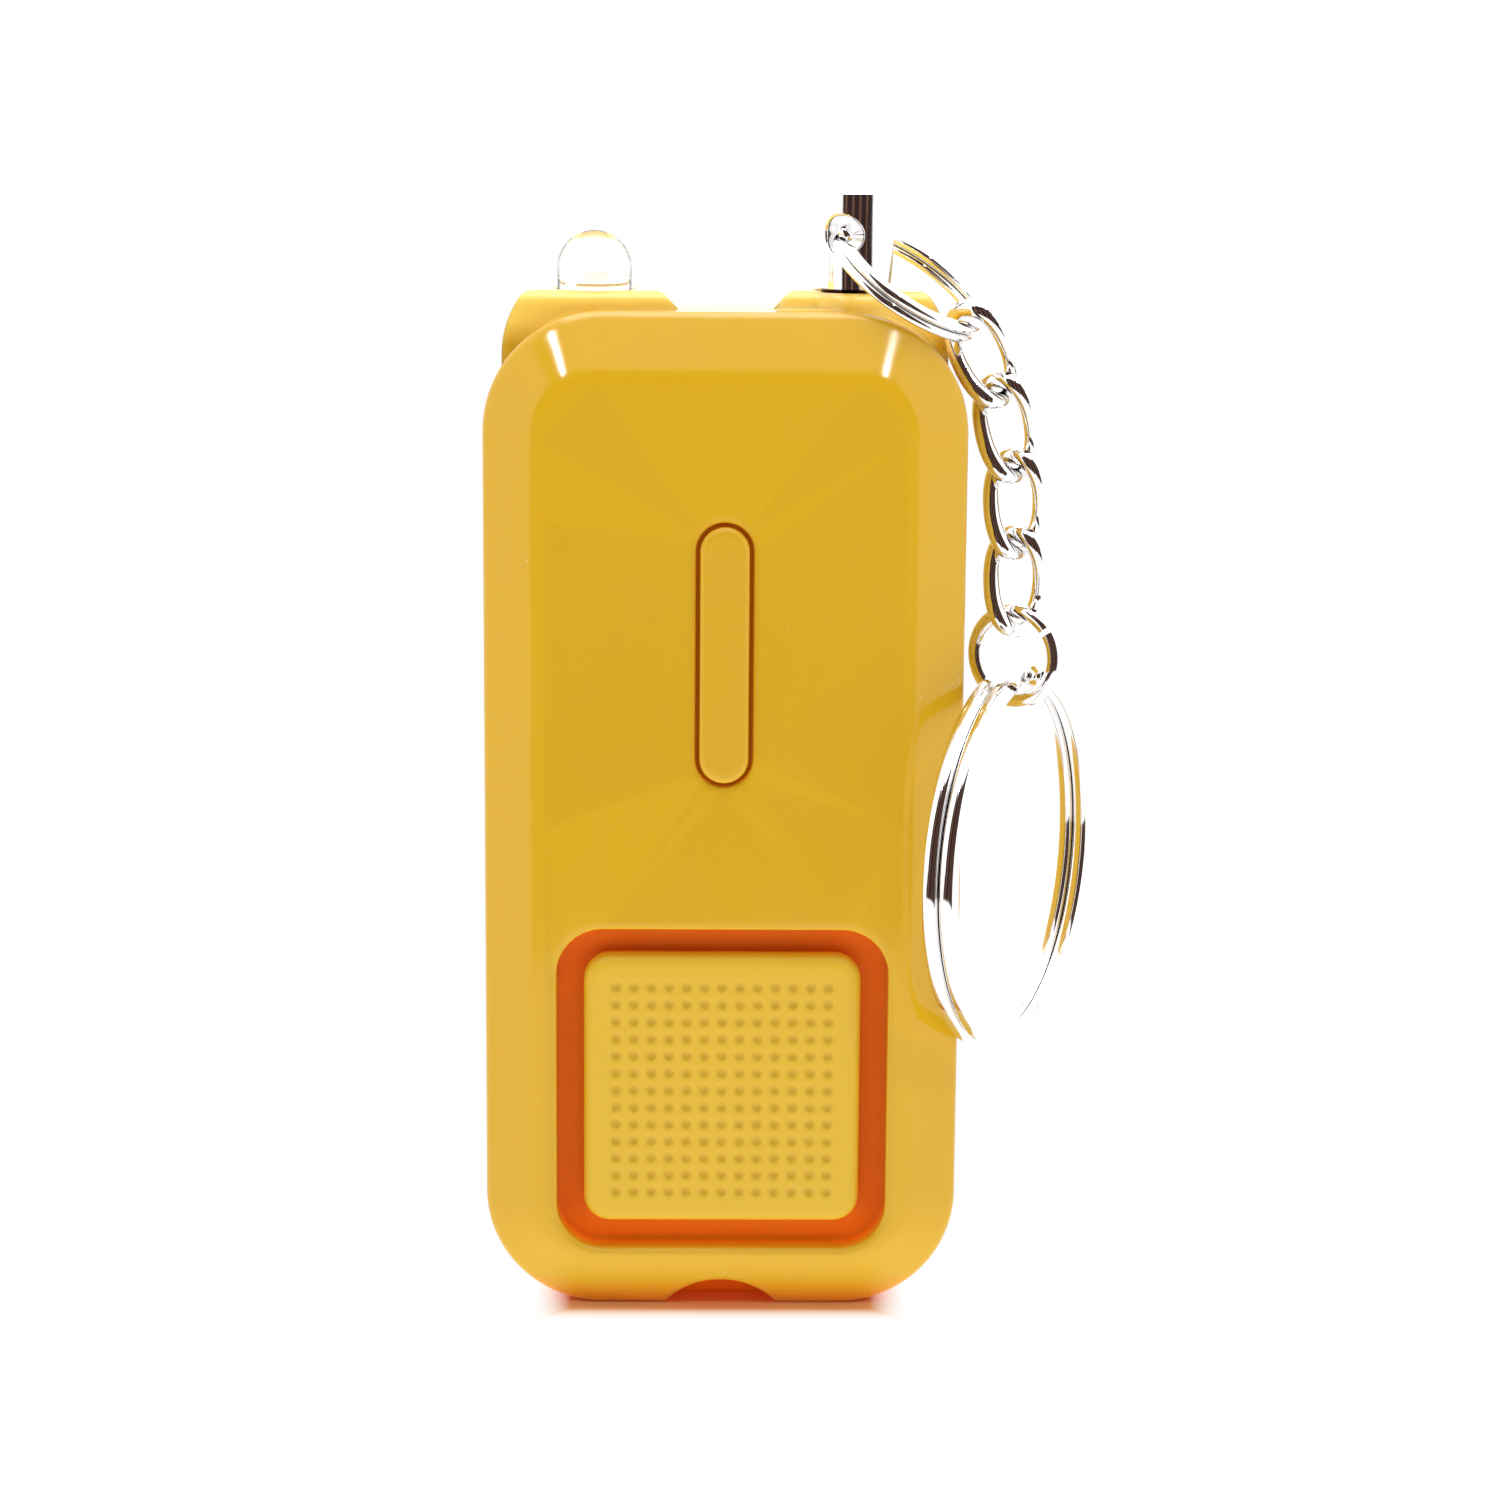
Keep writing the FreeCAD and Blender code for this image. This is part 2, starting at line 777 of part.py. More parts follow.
def lamp_leads():
    """Two legs that hold the cup inside the lens and turn forward to the board."""
    half = lead_size / 2
    y0, y1 = post_y - half, post_y + half
    post_top = lamp_flange_top - lamp_flange_thickness + anvil_height
    arm_top = post_top + anvil_step
    legs = []
    for side, top in ((-1, arm_top), (1, post_top)):
        x = -post_x + side * lead_spread
        upright = box(x - half, x + half, y0, y1, lead_bend_z, top)
        foot = box(x - half, x + half, board_back_y, y1, lead_bend_z, lead_bend_z + lead_size)
        legs.append(upright.fuse(foot).removeSplitter())
    arm = box(-post_x - lead_spread - half, -post_x + half, y0, y1, arm_top - lead_size, arm_top)
    cup_foot = arm_top - lead_size / 2
    cup = Part.makeCone(cup_foot_radius, cup_radius, cup_height, V(-post_x, post_y, cup_foot), Z)
    bowl_foot = cup_foot + cup_height / 2
    bowl = Part.makeCone(
        bowl_foot_radius, bowl_radius, cup_height / 2, V(-post_x, post_y, bowl_foot), Z,
    )
    cathode = legs[0].fuse([arm, cup]).cut(bowl).removeSplitter()
    return Part.Compound([cathode, legs[1]])


def torch_lens(leads):
    flange_z = lamp_flange_top - lamp_flange_thickness
    dome_z = top_z + lamp_rise - lamp_radius
    form = rod_z(lamp_radius, -post_x, post_y, flange_z, dome_z)
    dome = Part.makeSphere(lamp_radius, V(-post_x, post_y, dome_z))
    flange = rod_z(lamp_flange_radius, -post_x, post_y, flange_z, lamp_flange_top)
    return form.fuse([dome, flange]).removeSplitter().cut(leads)


# Pull pin, socket and contacts

pin_top = top_z + pin_rise
pin_bottom = top_z - pin_length_inside
pin_shoulder_z = top_z - pin_head_depth
eye = V(post_x, post_y, pin_top - pin_eye_drop)
eye_angle = math.radians(pin_eye_turn)
eye_way = V(math.sin(eye_angle), math.cos(eye_angle), 0)


def pull_pin():
    profile = Part.makePolygon([
        V(0, 0, pin_bottom),
        V(pin_stem_radius * 0.45, 0, pin_bottom),
        V(pin_stem_radius, 0, pin_bottom + pin_tip),
        V(pin_stem_radius, 0, pin_shoulder_z),
        V(pin_radius - pin_edge, 0, pin_shoulder_z),
        V(pin_radius, 0, pin_shoulder_z + pin_edge),
        V(pin_radius, 0, pin_top - pin_edge),
        V(pin_radius - pin_edge, 0, pin_top),
        V(0, 0, pin_top),
        V(0, 0, pin_bottom),
    ])
    body = Part.Face(profile).revolve(V(0, 0, 0), Z, 360)
    body.translate(V(post_x, post_y, 0))
    reach = pin_radius + 2
    drill = rod(pin_eye_radius, eye - eye_way * reach, eye_way, 2 * reach)
    body = body.cut(drill)
    rim = [
        e for e in body.Edges
        if abs(e.BoundBox.Center.z - eye.z) < 0.2 and e.BoundBox.ZMax - e.BoundBox.ZMin > pin_eye_radius
        and e.BoundBox.ZMax < eye.z + pin_eye_radius + 0.05 and len(e.Vertexes) <= 2
    ]
    return body.makeFillet(0.2, rim)


def pin_socket():
    top = ceiling_z - running_gap
    outer = rod_z(socket_radius, post_x, post_y, socket_bottom, top)
    return outer.cut([
        rod_z(pin_radius + socket_gap, post_x, post_y, pin_shoulder_z - 0.1, top + 1),
        rod_z(pin_stem_radius + socket_gap, post_x, post_y, socket_bottom - 1, top + 1),
    ])


leaf_bottom = leaf_base_bottom + 0.6
leaf_pivot_z = leaf_bottom + leaf_pivot_rise


def leaf_faces(side):
    """Depths of a contact leaf's inner and outer faces."""
    inner = post_y + side * (pin_stem_radius + leaf_gap)
    return inner, inner + side * leaf_thickness


def switch_leaf(side):
    """A contact strip that the pin's stem holds away from its twin."""
    y0, y1 = sorted(leaf_faces(side))
    return box(post_x - leaf_width / 2, post_x + leaf_width / 2, y0, y1, leaf_bottom, leaf_top)


def leaf_slot(side):
    """The slot of a leaf's foot, which opens upwards towards the pin so that the leaf can tilt."""
    inner, outer = leaf_faces(side)
    half = leaf_width / 2 + leaf_foot_gap
    foot_z = leaf_bottom - leaf_foot_gap
    head_z = leaf_base_top + 0.1
    lean = (head_z - leaf_pivot_z) * math.tan(math.radians(leaf_swing))
    near = inner - side * leaf_foot_gap
    far = outer + side * leaf_foot_gap
    x = post_x - half
    profile = Part.makePolygon([
        V(x, far, foot_z), V(x, near, foot_z), V(x, near - side * lean, head_z), V(x, far, head_z),
        V(x, far, foot_z),
    ])
    return Part.Face(profile).extrude(V(2 * half, 0, 0))


def leaf_base():
    half = leaf_base_width / 2
    back = leaf_faces(1)[1] + 0.8
    block = box(post_x - half, post_x + half, board_back_y, back, leaf_base_bottom, leaf_base_top)
    return block.cut([leaf_slot(-1), leaf_slot(1)])


# Battery

def cells():
    found = []
    first = -(cell_count - 1) / 2 * cell_height
    for i in range(cell_count):
        x = first + (i - 0.5) * cell_height
        can = rod(cell_radius, V(x + cell_step, cell_y, cell_z), X, cell_height - cell_step)
        can = can.makeFillet(0.4, [e for e in can.Edges if isinstance(e.Curve, Part.Circle)])
        button = rod(cell_radius - cell_rim - 0.6, V(x, cell_y, cell_z), X, cell_height / 2)
        found.append(can.fuse(button).removeSplitter())
    return found


cradle_front_y = cell_y - cell_radius - cell_clearance - cradle_wall


def contact_side(side):
    """Left and right faces of a contact plate against the cradle's end wall."""
    return sorted((side * (cell_bay_half_x - contact_thickness), side * cell_bay_half_x))


def battery_cradle():
    half_x = cell_bay_half_x + cradle_wall
    half_z = cell_bay_half_z + cradle_wall
    tray = box(-half_x, half_x, cradle_front_y, door_pad_y, cell_z - half_z, cell_z + half_z)
    room = box(
        -cell_bay_half_x, cell_bay_half_x, cradle_front_y + cradle_wall, door_pad_y + 1,
        cell_z - cell_bay_half_z, cell_z + cell_bay_half_z,
    )
    slots = []
    for side in (-1, 1):
        x0, x1 = contact_side(side)
        slots.append(
            box(
                x0 - running_gap, x1 + running_gap, board_back_y - running_gap,
                board_back_y + contact_leg_width + running_gap, cell_z, cell_z + half_z + 1,
            )
        )
    return tray.cut([room] + slots)


def battery_contact(side):
    """An end plate with a leg up to the board and a bowed strip that presses on the cells."""
    stack_end = cell_count * cell_height / 2
    t = contact_thickness
    x0, x1 = contact_side(side)
    low, high = cell_z - 3.5, cell_z + 3.5
    leg_foot = high - 2.0
    leg_back_y = board_back_y + contact_leg_width
    plate = box(x0, x1, cell_y - contact_width / 2, cell_y + contact_width / 2, low, high)
    leg = box(x0, x1, board_back_y, leg_back_y, leg_foot, board_bottom + 1.5)
    bridge = box(x0, x1, board_back_y, cell_y, leg_foot, high)
    wall_x, tip_x = side * (cell_bay_half_x - t / 2), side * (stack_end + t)
    step = V(-side * t, 0, 0)
    start, tip, stop = V(wall_x, 0, low), V(tip_x, 0, cell_z), V(wall_x, 0, high)
    near_tip = V(side * (stack_end + 0.02), 0, cell_z)
    face = Part.Face(Part.Wire([
        Part.Arc(start, tip, stop).toShape(),
        Part.LineSegment(stop, stop + step).toShape(),
        Part.Arc(start + step, near_tip, stop + step).toShape(),
        Part.LineSegment(start + step, start).toShape(),
    ]))
    strip = face.extrude(V(0, contact_width, 0))
    strip.translate(V(0, cell_y - contact_width / 2, 0))
    return plate.fuse([leg, bridge, strip]).removeSplitter()


def battery_door():
    plate = slab(
        rounded_outline(door_width, door_height, door_corner, door_mid_z, door_inner_y), door_thickness,
    )
    plate = plate.makeFillet(0.25, edges_at_y(plate, back_y))
    plate = plate.fuse(rod_y(door_boss_radius, 0, door_screw_z, door_inner_y - door_boss_depth, back_y - 0.3))
    cuts = [
        rod_y(screw_head_radius + screw_play, 0, door_screw_z, door_screw_seat_y, back_y + over),
        rod_y(
            screw_shank_radius + screw_play, 0, door_screw_z,
            door_inner_y - door_boss_depth - over, back_y,
        ),
    ]
    for i in range(door_grip_count):
        z0 = door_bottom + door_grip_rise + i * door_grip_pitch
        z1 = z0 + door_grip_width
        cuts.append(box(-door_grip_half, door_grip_half, back_y - door_grip_depth, back_y + over, z0, z1))
    return plate.cut(cuts).removeSplitter()


# Screws

def screw(x, z, seat_y, tip_y):
    """A cross-head screw driven from the back."""
    head = rod_y(screw_head_radius, x, z, seat_y, seat_y + screw_head_height)
    head = head.makeFillet(0.3, edges_at_y(head, seat_y + screw_head_height))
    shank = rod_y(screw_shank_radius, x, z, tip_y, seat_y)
    shank = shank.makeChamfer(0.3, edges_at_y(shank, tip_y))
    long, thin = screw_head_radius * 0.62, screw_slot_width / 2
    y0 = seat_y + screw_head_height - screw_slot_depth
    cross = [
        box(x - long, x + long, y0, y0 + 2, z - thin, z + thin),
        box(x - thin, x + thin, y0, y0 + 2, z - long, z + long),
    ]
    return head.fuse(shank).cut(cross).removeSplitter()


def case_screws():
    return Part.Compound([screw(x, z, case_screw_seat_y, case_screw_tip_y) for x, z in case_screw_places()])


# Siren

throat_back_y = pocket_back_y + chamber_throat_depth
disc_back_y = throat_back_y + disc_thickness
gasket_back_y = disc_back_y + gasket_thickness
retainer_back_y = gasket_back_y + retainer_thickness


def siren_chamber():
    outer = rod_y(chamber_radius, 0, pocket_z, pocket_back_y, retainer_back_y)
    return outer.cut([
        rod_y(chamber_throat_radius, 0, pocket_z, pocket_back_y - 1, throat_back_y + 1),
        rod_y(disc_radius + disc_play, 0, pocket_z, throat_back_y, retainer_back_y + 1),
    ])


def ring_y(outer, inner, y0, y1):
    return rod_y(outer, 0, pocket_z, y0, y1).cut(rod_y(inner, 0, pocket_z, y0 - 1, y1 + 1))


def siren_stack():
    disc = rod_y(disc_radius, 0, pocket_z, throat_back_y, disc_back_y)
    ceramic = rod_y(ceramic_radius, 0, pocket_z, disc_back_y, disc_back_y + ceramic_thickness)
    gasket = ring_y(disc_radius, disc_radius - gasket_width, disc_back_y, gasket_back_y)
    retainer = ring_y(
        disc_radius + disc_play / 2, disc_radius - retainer_width, gasket_back_y, retainer_back_y,
    )
    return disc, ceramic, gasket, retainer


def siren_wires():
    """Two thin leads from the ceramic and the disc up past the battery to the board."""
    bare_x = (ceramic_radius + disc_radius - retainer_width) / 2
    routes = (
        (V(2.0, disc_back_y + ceramic_thickness, pocket_z + 2.0), lead_wire_rear_y, lead_wire_rear_z),
        (V(bare_x, disc_back_y, pocket_z), lead_wire_front_y, lead_wire_front_z),
    )
    found = []
    for start, y, z in routes:
        points = [
            start, V(start.x, y, start.z), V(lead_wire_x, y, start.z), V(lead_wire_x, y, z),
            V(lead_wire_x, board_back_y, z),
        ]
        found.append(bent_wire(points, lead_wire_bend, lead_wire_radius))
    return Part.Compound(found)


# Rings and chain

def rounded_section(r0, r1, z0, z1):
    """A wire section in the XZ plane with its corners eased."""
    e = wire_edge
    points = [
        V(r0 + e, 0, z0), V(r1 - e, 0, z0), V(r1, 0, z0 + e), V(r1, 0, z1 - e),
        V(r1 - e, 0, z1), V(r0 + e, 0, z1), V(r0, 0, z1 - e), V(r0, 0, z0 + e),
    ]
    edges = []
    centres = [V(r1 - e, 0, z0 + e), V(r1 - e, 0, z1 - e), V(r0 + e, 0, z1 - e), V(r0 + e, 0, z0 + e)]
    for i in range(4):
        a, b, c = points[2 * i], points[2 * i + 1], points[(2 * i + 2) % 8]
        edges.append(Part.LineSegment(a, b).toShape())
        out = ((b - centres[i]) + (c - centres[i])).normalize() * e
        edges.append(Part.Arc(b, centres[i] + out, c).toShape())
    return Part.Wire(edges)


def split_ring(radius, wire, coil):
    """A flat-wire ring of two turns in the XY plane, with one sloping step between them."""
    rise = coil + ring_turn_gap
    low = -rise / 2 - coil / 2
    section = rounded_section(radius - wire, radius, low, low + coil)
    turn = 360.0 - ring_step_angle
    lower = Part.Face(section).revolve(V(0, 0, 0), Z, turn)
    upper = lower.copy()
    upper.translate(V(0, 0, rise))
    steps = 6
    rings = []
    for i in range(steps + 1):
        share = i / steps
        lift = rise * (1 - math.cos(math.pi * share)) / 2
        s = section.copy()
        s.translate(V(0, 0, lift))
        s.rotate(V(0, 0, 0), Z, turn + ring_step_angle * share)
        rings.append(s)
    bridge = Part.makeLoft(rings, True, False)
    return lower.fuse([bridge, upper])


def curb_link():
    """One twisted oval link along Z, centred on the origin, swept as two halves that meet at its ends."""
    half = (link_length - link_wire) / 2
    spread = (link_width - link_wire) / 2
    twist = math.radians(link_twist)

    def place(t):
        out = spread * math.sin(t) * (1 + link_fullness * math.cos(t) ** 2)
        turn = twist * math.cos(t)
        return V(out * math.cos(turn), out * math.sin(turn), -half * math.cos(t))

    def heading(t):
        small = 1e-5
        return (place(t + small) - place(t - small)).normalize()

    halves = []
    steps = 6
    for first in (0, math.pi):
        angles = [first + math.pi * i / steps for i in range(steps + 1)]
        edges = []
        for a, b in zip(angles, angles[1:]):
            edges += biarc(place(a), heading(a), place(b), heading(b))
        halves.append(swept_wire(Part.Wire(edges), link_wire / 2, place(first), heading(first)))
    return halves[0].fuse(halves[1])


def turned(shape, way_x, way_y, way_z, place):
    """The shape with its own X, Y and Z laid along three directions, moved to place."""
    m = FreeCAD.Matrix(
        way_x.x, way_y.x, way_z.x, place.x,
        way_x.y, way_y.y, way_z.y, place.y,
        way_x.z, way_y.z, way_z.z, place.z,
        0, 0, 0, 1,
    )
    moved = shape.copy()
    moved.Placement = FreeCAD.Placement(m).multiply(moved.Placement)
    return moved


pin_ring_middle = pin_ring_radius - pin_ring_wire / 2
drop = math.radians(pin_ring_drop)
pin_ring_way = V(math.cos(eye_angle) * math.cos(drop), -math.sin(eye_angle) * math.cos(drop), -math.sin(drop))
pin_ring_centre = eye + pin_ring_way * (pin_ring_middle - pin_ring_offset)
hook = math.radians(hook_angle)
pin_ring_hook = pin_ring_centre + (pin_ring_way * math.cos(hook) + eye_way * math.sin(hook)) * pin_ring_middle
link_half = (link_length - link_wire) / 2


def pin_ring():
    """The ring's step lies just outside the pin's front mouth."""
    ring = split_ring(pin_ring_radius, pin_ring_wire, pin_ring_coil)
    start = math.radians(pin_ring_step)
    towards = pin_ring_way * -math.cos(start) - eye_way * math.sin(start)
    across = eye_way * math.cos(start) - pin_ring_way * math.sin(start)
    return turned(ring, towards, across, towards.cross(across), pin_ring_centre)


def chain():
    """Placed links from the pin's ring down, where each one pivots, and the last link's low end."""
    link = curb_link()
    hold = pin_ring_hook
    reach = hook_lift
    links, pivots = [], []
    for tilt in link_tilts:
        angle = math.radians(tilt)
        down = V(math.sin(angle), 0, -math.cos(angle))
        across = V(math.cos(angle), 0, math.sin(angle))
        centre = hold + down * (link_half - reach)
        links.append(turned(link, across, Y, down * -1, centre))
        pivots.append(hold - down * (reach / 2))
        hold = centre + down * link_half
        reach = link_wire + link_slack
    return links, pivots, hold


jump_middle = jump_ring_radius - jump_ring_wire / 2
jump_angle = math.radians(jump_ring_turn)
jump_way = V(math.cos(jump_angle), -math.sin(jump_angle), 0)
key_middle = key_ring_radius - key_ring_wire / 2


def upright_ring(ring, across, start_angle, centre):
    """A ring stood up in the plane of across and Z, with its start at an angle above across."""
    start = math.radians(start_angle)
    a = across * math.cos(start) + Z * math.sin(start)
    b = Z * math.cos(start) - across * math.sin(start)
    return turned(ring, a, b, a.cross(b), centre)


def jump_ring(hold):
    """A round wire ring with a butt gap, hooked in the last link."""
    profile = Part.Face(Part.Wire(Part.Circle(V(jump_middle, 0, 0), Y, jump_ring_wire / 2).toShape()))
    ring = profile.revolve(V(0, 0, 0), Z, 360.0 - jump_ring_gap)
    centre = hold + Z * ((link_wire + jump_ring_wire) / 2 + link_slack - jump_middle)
    return upright_ring(ring, jump_way, jump_ring_joint, centre), centre


def key_ring(jump_centre):
    """The large split ring, hanging in the jump ring and turned nearly edge on."""
    half_band = key_ring_coil + ring_turn_gap / 2
    seat = math.sqrt((jump_ring_radius - jump_ring_wire - link_slack) ** 2 - half_band ** 2)
    centre = jump_centre - Z * (seat - key_ring_wire / 2 + key_middle)
    turn = math.radians(key_ring_turn)
    ring = split_ring(key_ring_radius, key_ring_wire, key_ring_coil)
    return upright_ring(ring, V(math.cos(turn), math.sin(turn), 0), key_ring_step, centre), centre


def main():
    leads = lamp_leads()
    bobbin, winding = boost_coil()
    disc, ceramic, gasket, retainer = siren_stack()
    cell_list = cells()
    links, pivots, last_low = chain()
    jump, jump_centre = jump_ring(last_low)
    key, key_centre = key_ring(jump_centre)
    nodes = {
        "front_cover": front_cover(),
        "rear_cover": rear_cover(),
        "siren_grille": grille(),
        "torch_button": torch_button(),
        "circuit_board": circuit_board(),
        "tact_switch": tact_switch(),
        "tact_plunger": tact_plunger(),
        "coil_bobbin": bobbin,
        "coil_winding": winding,
        "siren_chip": siren_chip(),
        "chip_resistors": small_parts(),
        "torch_lens": torch_lens(leads),
        "torch_leads": leads,
        "pull_pin": pull_pin(),
        "pin_socket": pin_socket(),
        "switch_leaf_front": switch_leaf(-1),
        "switch_leaf_back": switch_leaf(1),
        "leaf_base": leaf_base(),
        "battery_cradle": battery_cradle(),
        "contact_minus": battery_contact(-1),
        "contact_plus": battery_contact(1),
        "battery_door": battery_door(),
        "door_screw": screw(0, door_screw_z, door_screw_seat_y, door_screw_tip_y),
        "case_screws": case_screws(),
        "siren_chamber": siren_chamber(),
        "siren_disc": disc,
        "siren_ceramic": ceramic,
        "siren_gasket": gasket,
        "siren_retainer": retainer,
        "siren_wires": siren_wires(),
        "pin_ring": pin_ring(),
        "jump_ring": jump,
        "key_ring": key,
    }
    for i, cell in enumerate(cell_list):
        nodes[f"cell_{i + 1}"] = cell
    for i, link in enumerate(links):
        nodes[f"chain_link_{i + 1}"] = link
    os.makedirs("parts", exist_ok=True)
    for name, shape in nodes.items():
        shape.exportStep(f"parts/{name}.step")
    print("pin eye", eye, "eye axis", eye_way)
    for i, p in enumerate(pivots):
        print("pivot", i, p)
    print("last link's low end", last_low, "jump ring centre", jump_centre, "key ring centre", key_centre)
    return nodes


main()
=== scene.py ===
# %% [markdown]
# # A pocket alarm with a torch, a siren and a pull pin
#
# The real thing is a small case in glossy yellow plastic. A clear lamp and a metal pin stand on
# its top, and a chain with a key ring hangs from the pin. The solid model already holds every
# piece at its real size, so this script starts from it, gives each piece its finish, models
# again the pieces whose shape decides how they catch the light, and lights and frames the lot.

# %% Load the solid model
import json
import math

import bmesh
import bpy
from mathutils import Matrix, Vector


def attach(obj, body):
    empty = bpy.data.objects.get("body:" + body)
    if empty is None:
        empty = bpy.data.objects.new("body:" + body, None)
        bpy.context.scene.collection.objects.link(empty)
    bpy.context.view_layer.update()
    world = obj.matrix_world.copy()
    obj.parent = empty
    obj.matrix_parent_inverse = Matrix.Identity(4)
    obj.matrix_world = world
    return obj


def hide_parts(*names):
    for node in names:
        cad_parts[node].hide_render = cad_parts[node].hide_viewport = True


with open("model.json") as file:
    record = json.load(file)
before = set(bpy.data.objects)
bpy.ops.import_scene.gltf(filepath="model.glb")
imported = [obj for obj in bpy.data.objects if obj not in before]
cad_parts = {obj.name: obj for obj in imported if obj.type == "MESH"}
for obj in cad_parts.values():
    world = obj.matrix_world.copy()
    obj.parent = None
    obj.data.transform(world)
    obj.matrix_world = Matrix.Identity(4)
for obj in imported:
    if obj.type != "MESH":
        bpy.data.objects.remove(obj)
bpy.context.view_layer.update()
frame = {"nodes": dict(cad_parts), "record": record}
nodes = frame["nodes"]
MM = 0.001
scene = bpy.context.scene
scene.view_settings.view_transform = "Standard"

# %% [markdown]
# ## Camera
#
# The viewpoint was solved from the outline of the case: its upright sides converge slightly
# downwards, which tells how far above it the camera stands and how much it looks down. A camera
# could be aimed at an empty with a constraint, but a solved place and three angles are exact, so
# they go straight into its matrix.

# %% Camera
CAMERA_PLACE = Vector((-2.194, -284.93, 98.54)) * MM
CAMERA_PITCH = math.radians(-10.561)
CAMERA_YAW = math.radians(-0.886)
CAMERA_ROLL = math.radians(0.447)
LEVEL = math.pi / 2
FOCAL_PIXELS = 3529.24
PHOTO_WIDTH = 1500
SENSOR = 36.0
NEAREST_SEEN = 0.01

camera_data = bpy.data.cameras.new("camera")
camera_data.sensor_width = SENSOR
camera_data.lens = FOCAL_PIXELS / PHOTO_WIDTH * SENSOR
camera_data.clip_start = NEAREST_SEEN
camera = bpy.data.objects.new("camera", camera_data)
scene.collection.objects.link(camera)
scene.camera = camera
turn = Matrix.Rotation(CAMERA_YAW, 4, "Z") @ Matrix.Rotation(LEVEL + CAMERA_PITCH, 4, "X")
roll = Matrix.Rotation(CAMERA_ROLL, 4, "Z")
camera.matrix_world = Matrix.Translation(CAMERA_PLACE) @ turn @ roll
print("camera lens, mm:", round(camera_data.lens, 2))

# %% [markdown]
# ## Building with nodes
#
# Every finish of the alarm is a Principled shader whose colour, roughness and bump come from
# procedural patterns. Each could be wired by hand, node by node, but a few short helpers that add
# a node and set its inputs by name let it read as a recipe. The floor and the world use them too.
# Object coordinates are in metres, so a noise scale of 1000 gives a pattern of about one
# millimetre.


# %% Node helpers
class Nodes:
    """A node tree, with short ways to add nodes and to join them."""

    def __init__(self, tree):
        self.tree = tree

    def add(self, kind, settings=None, **inputs):
        """A new node with its settings, and with its sockets fed by name."""
        node = self.tree.nodes.new(kind)
        for key, value in (settings or {}).items():
            setattr(node, key, value)
        for key, value in inputs.items():
            self.feed(node.inputs[key.replace("_", " ")], value)
        return node

    def feed(self, socket, value):
        """Joins a socket to another node's output, or sets it to a plain value."""
        if isinstance(value, bpy.types.NodeSocket):
            self.tree.links.new(value, socket)
        else:
            socket.default_value = value

    def maths(self, operation, first, second=0.0):
        node = self.add("ShaderNodeMath", {"operation": operation})
        self.feed(node.inputs[0], first)
        self.feed(node.inputs[1], second)
        return node.outputs[0]

    def ramp(self, value, low, high, to_low=0.0, to_high=1.0, curve="LINEAR"):
        """Turns low to high into to_low to to_high, and stays at these ends beyond them."""
        node = self.add(
            "ShaderNodeMapRange", {"interpolation_type": curve},
            Value=value, From_Min=low, From_Max=high, To_Min=to_low, To_Max=to_high,
        )
        return node.outputs["Result"]

    def mix(self, share, first, second):
        """A blend of two colours, which a Mix node takes in its sockets 6 and 7."""
        node = self.add("ShaderNodeMix", {"data_type": "RGBA"})
        for index, value in ((0, share), (6, first), (7, second)):
            self.feed(node.inputs[index], value)
        return node.outputs[2]

    def either(self, share, first, second):
        """One of two shader nodes, or a blend of them by share."""
        node = self.add("ShaderNodeMixShader")
        for index, value in enumerate((share, first.outputs[0], second.outputs[0])):
            self.feed(node.inputs[index], value)
        return node

    def split(self, vector):
        """The X, Y and Z of a place or a direction."""
        return tuple(self.add("ShaderNodeSeparateXYZ", Vector=vector).outputs)


class Recipe(Nodes):
    """A material, with its shader and its Object coordinates at hand."""

    def __init__(self, name):
        self.material = bpy.data.materials.new(name)
        self.material.use_nodes = True
        super().__init__(self.material.node_tree)
        self.shader = self.tree.nodes["Principled BSDF"]
        self.place = self.add("ShaderNodeTexCoord").outputs["Object"]

    def set(self, **inputs):
        for key, value in inputs.items():
            self.feed(self.shader.inputs[key.replace("_", " ")], value)

    def noise(self, scale, detail=3.0, place=None):
        node = self.add("ShaderNodeTexNoise", Scale=scale, Detail=detail)
        self.feed(node.inputs["Vector"], place or self.place)
        return node.outputs["Fac"]

    def grain(self, closeness, detail=3.0):
        """A noise that is stretched: as closely spaced along X, Y and Z as closeness says."""
        stretched = self.add("ShaderNodeMapping", Vector=self.place, Scale=closeness)
        return self.noise(1.0, detail, stretched.outputs["Vector"])

    def bump(self, height, depth, strength=1.0, normal=None):
        node = self.add("ShaderNodeBump", Height=height, Distance=depth, Strength=strength)
        if normal:
            self.feed(node.inputs["Normal"], normal)
        self.set(Normal=node.outputs["Normal"])


def rgb(red, green, blue):
    """A colour as read from a screen, 0 to 255, in the linear values that a shader takes."""
    linear = []
    for part in (red, green, blue):
        share = part / 255
        linear.append(share / 12.92 if share <= 0.04045 else ((share + 0.055) / 1.055) ** 2.4)
    return (*linear, 1.0)


def darker(colour, share):
    return (*(part * share for part in colour[:3]), 1.0)


print("mid grey in linear values:", round(rgb(128, 128, 128)[0], 3))

# %% [markdown]
# ## Soft edges
#
# Moulded plastic has a small round on every edge, and that round draws a fine line of light. It
# could be bevelled into the mesh, but the solid model's mesh stays as it is, so a Bevel node
# bends the direction that the light sees near an edge. It starts from the smoothed direction on
# curved faces, and from the face's own where a face looks straight along an axis, so that the
# large flat faces stay perfectly flat.

# %% Soft edges
EDGE_SOFTNESS = 0.9 * MM
EDGE_SAMPLES = 8
FLAT_BAND = (0.9995, 0.9999)


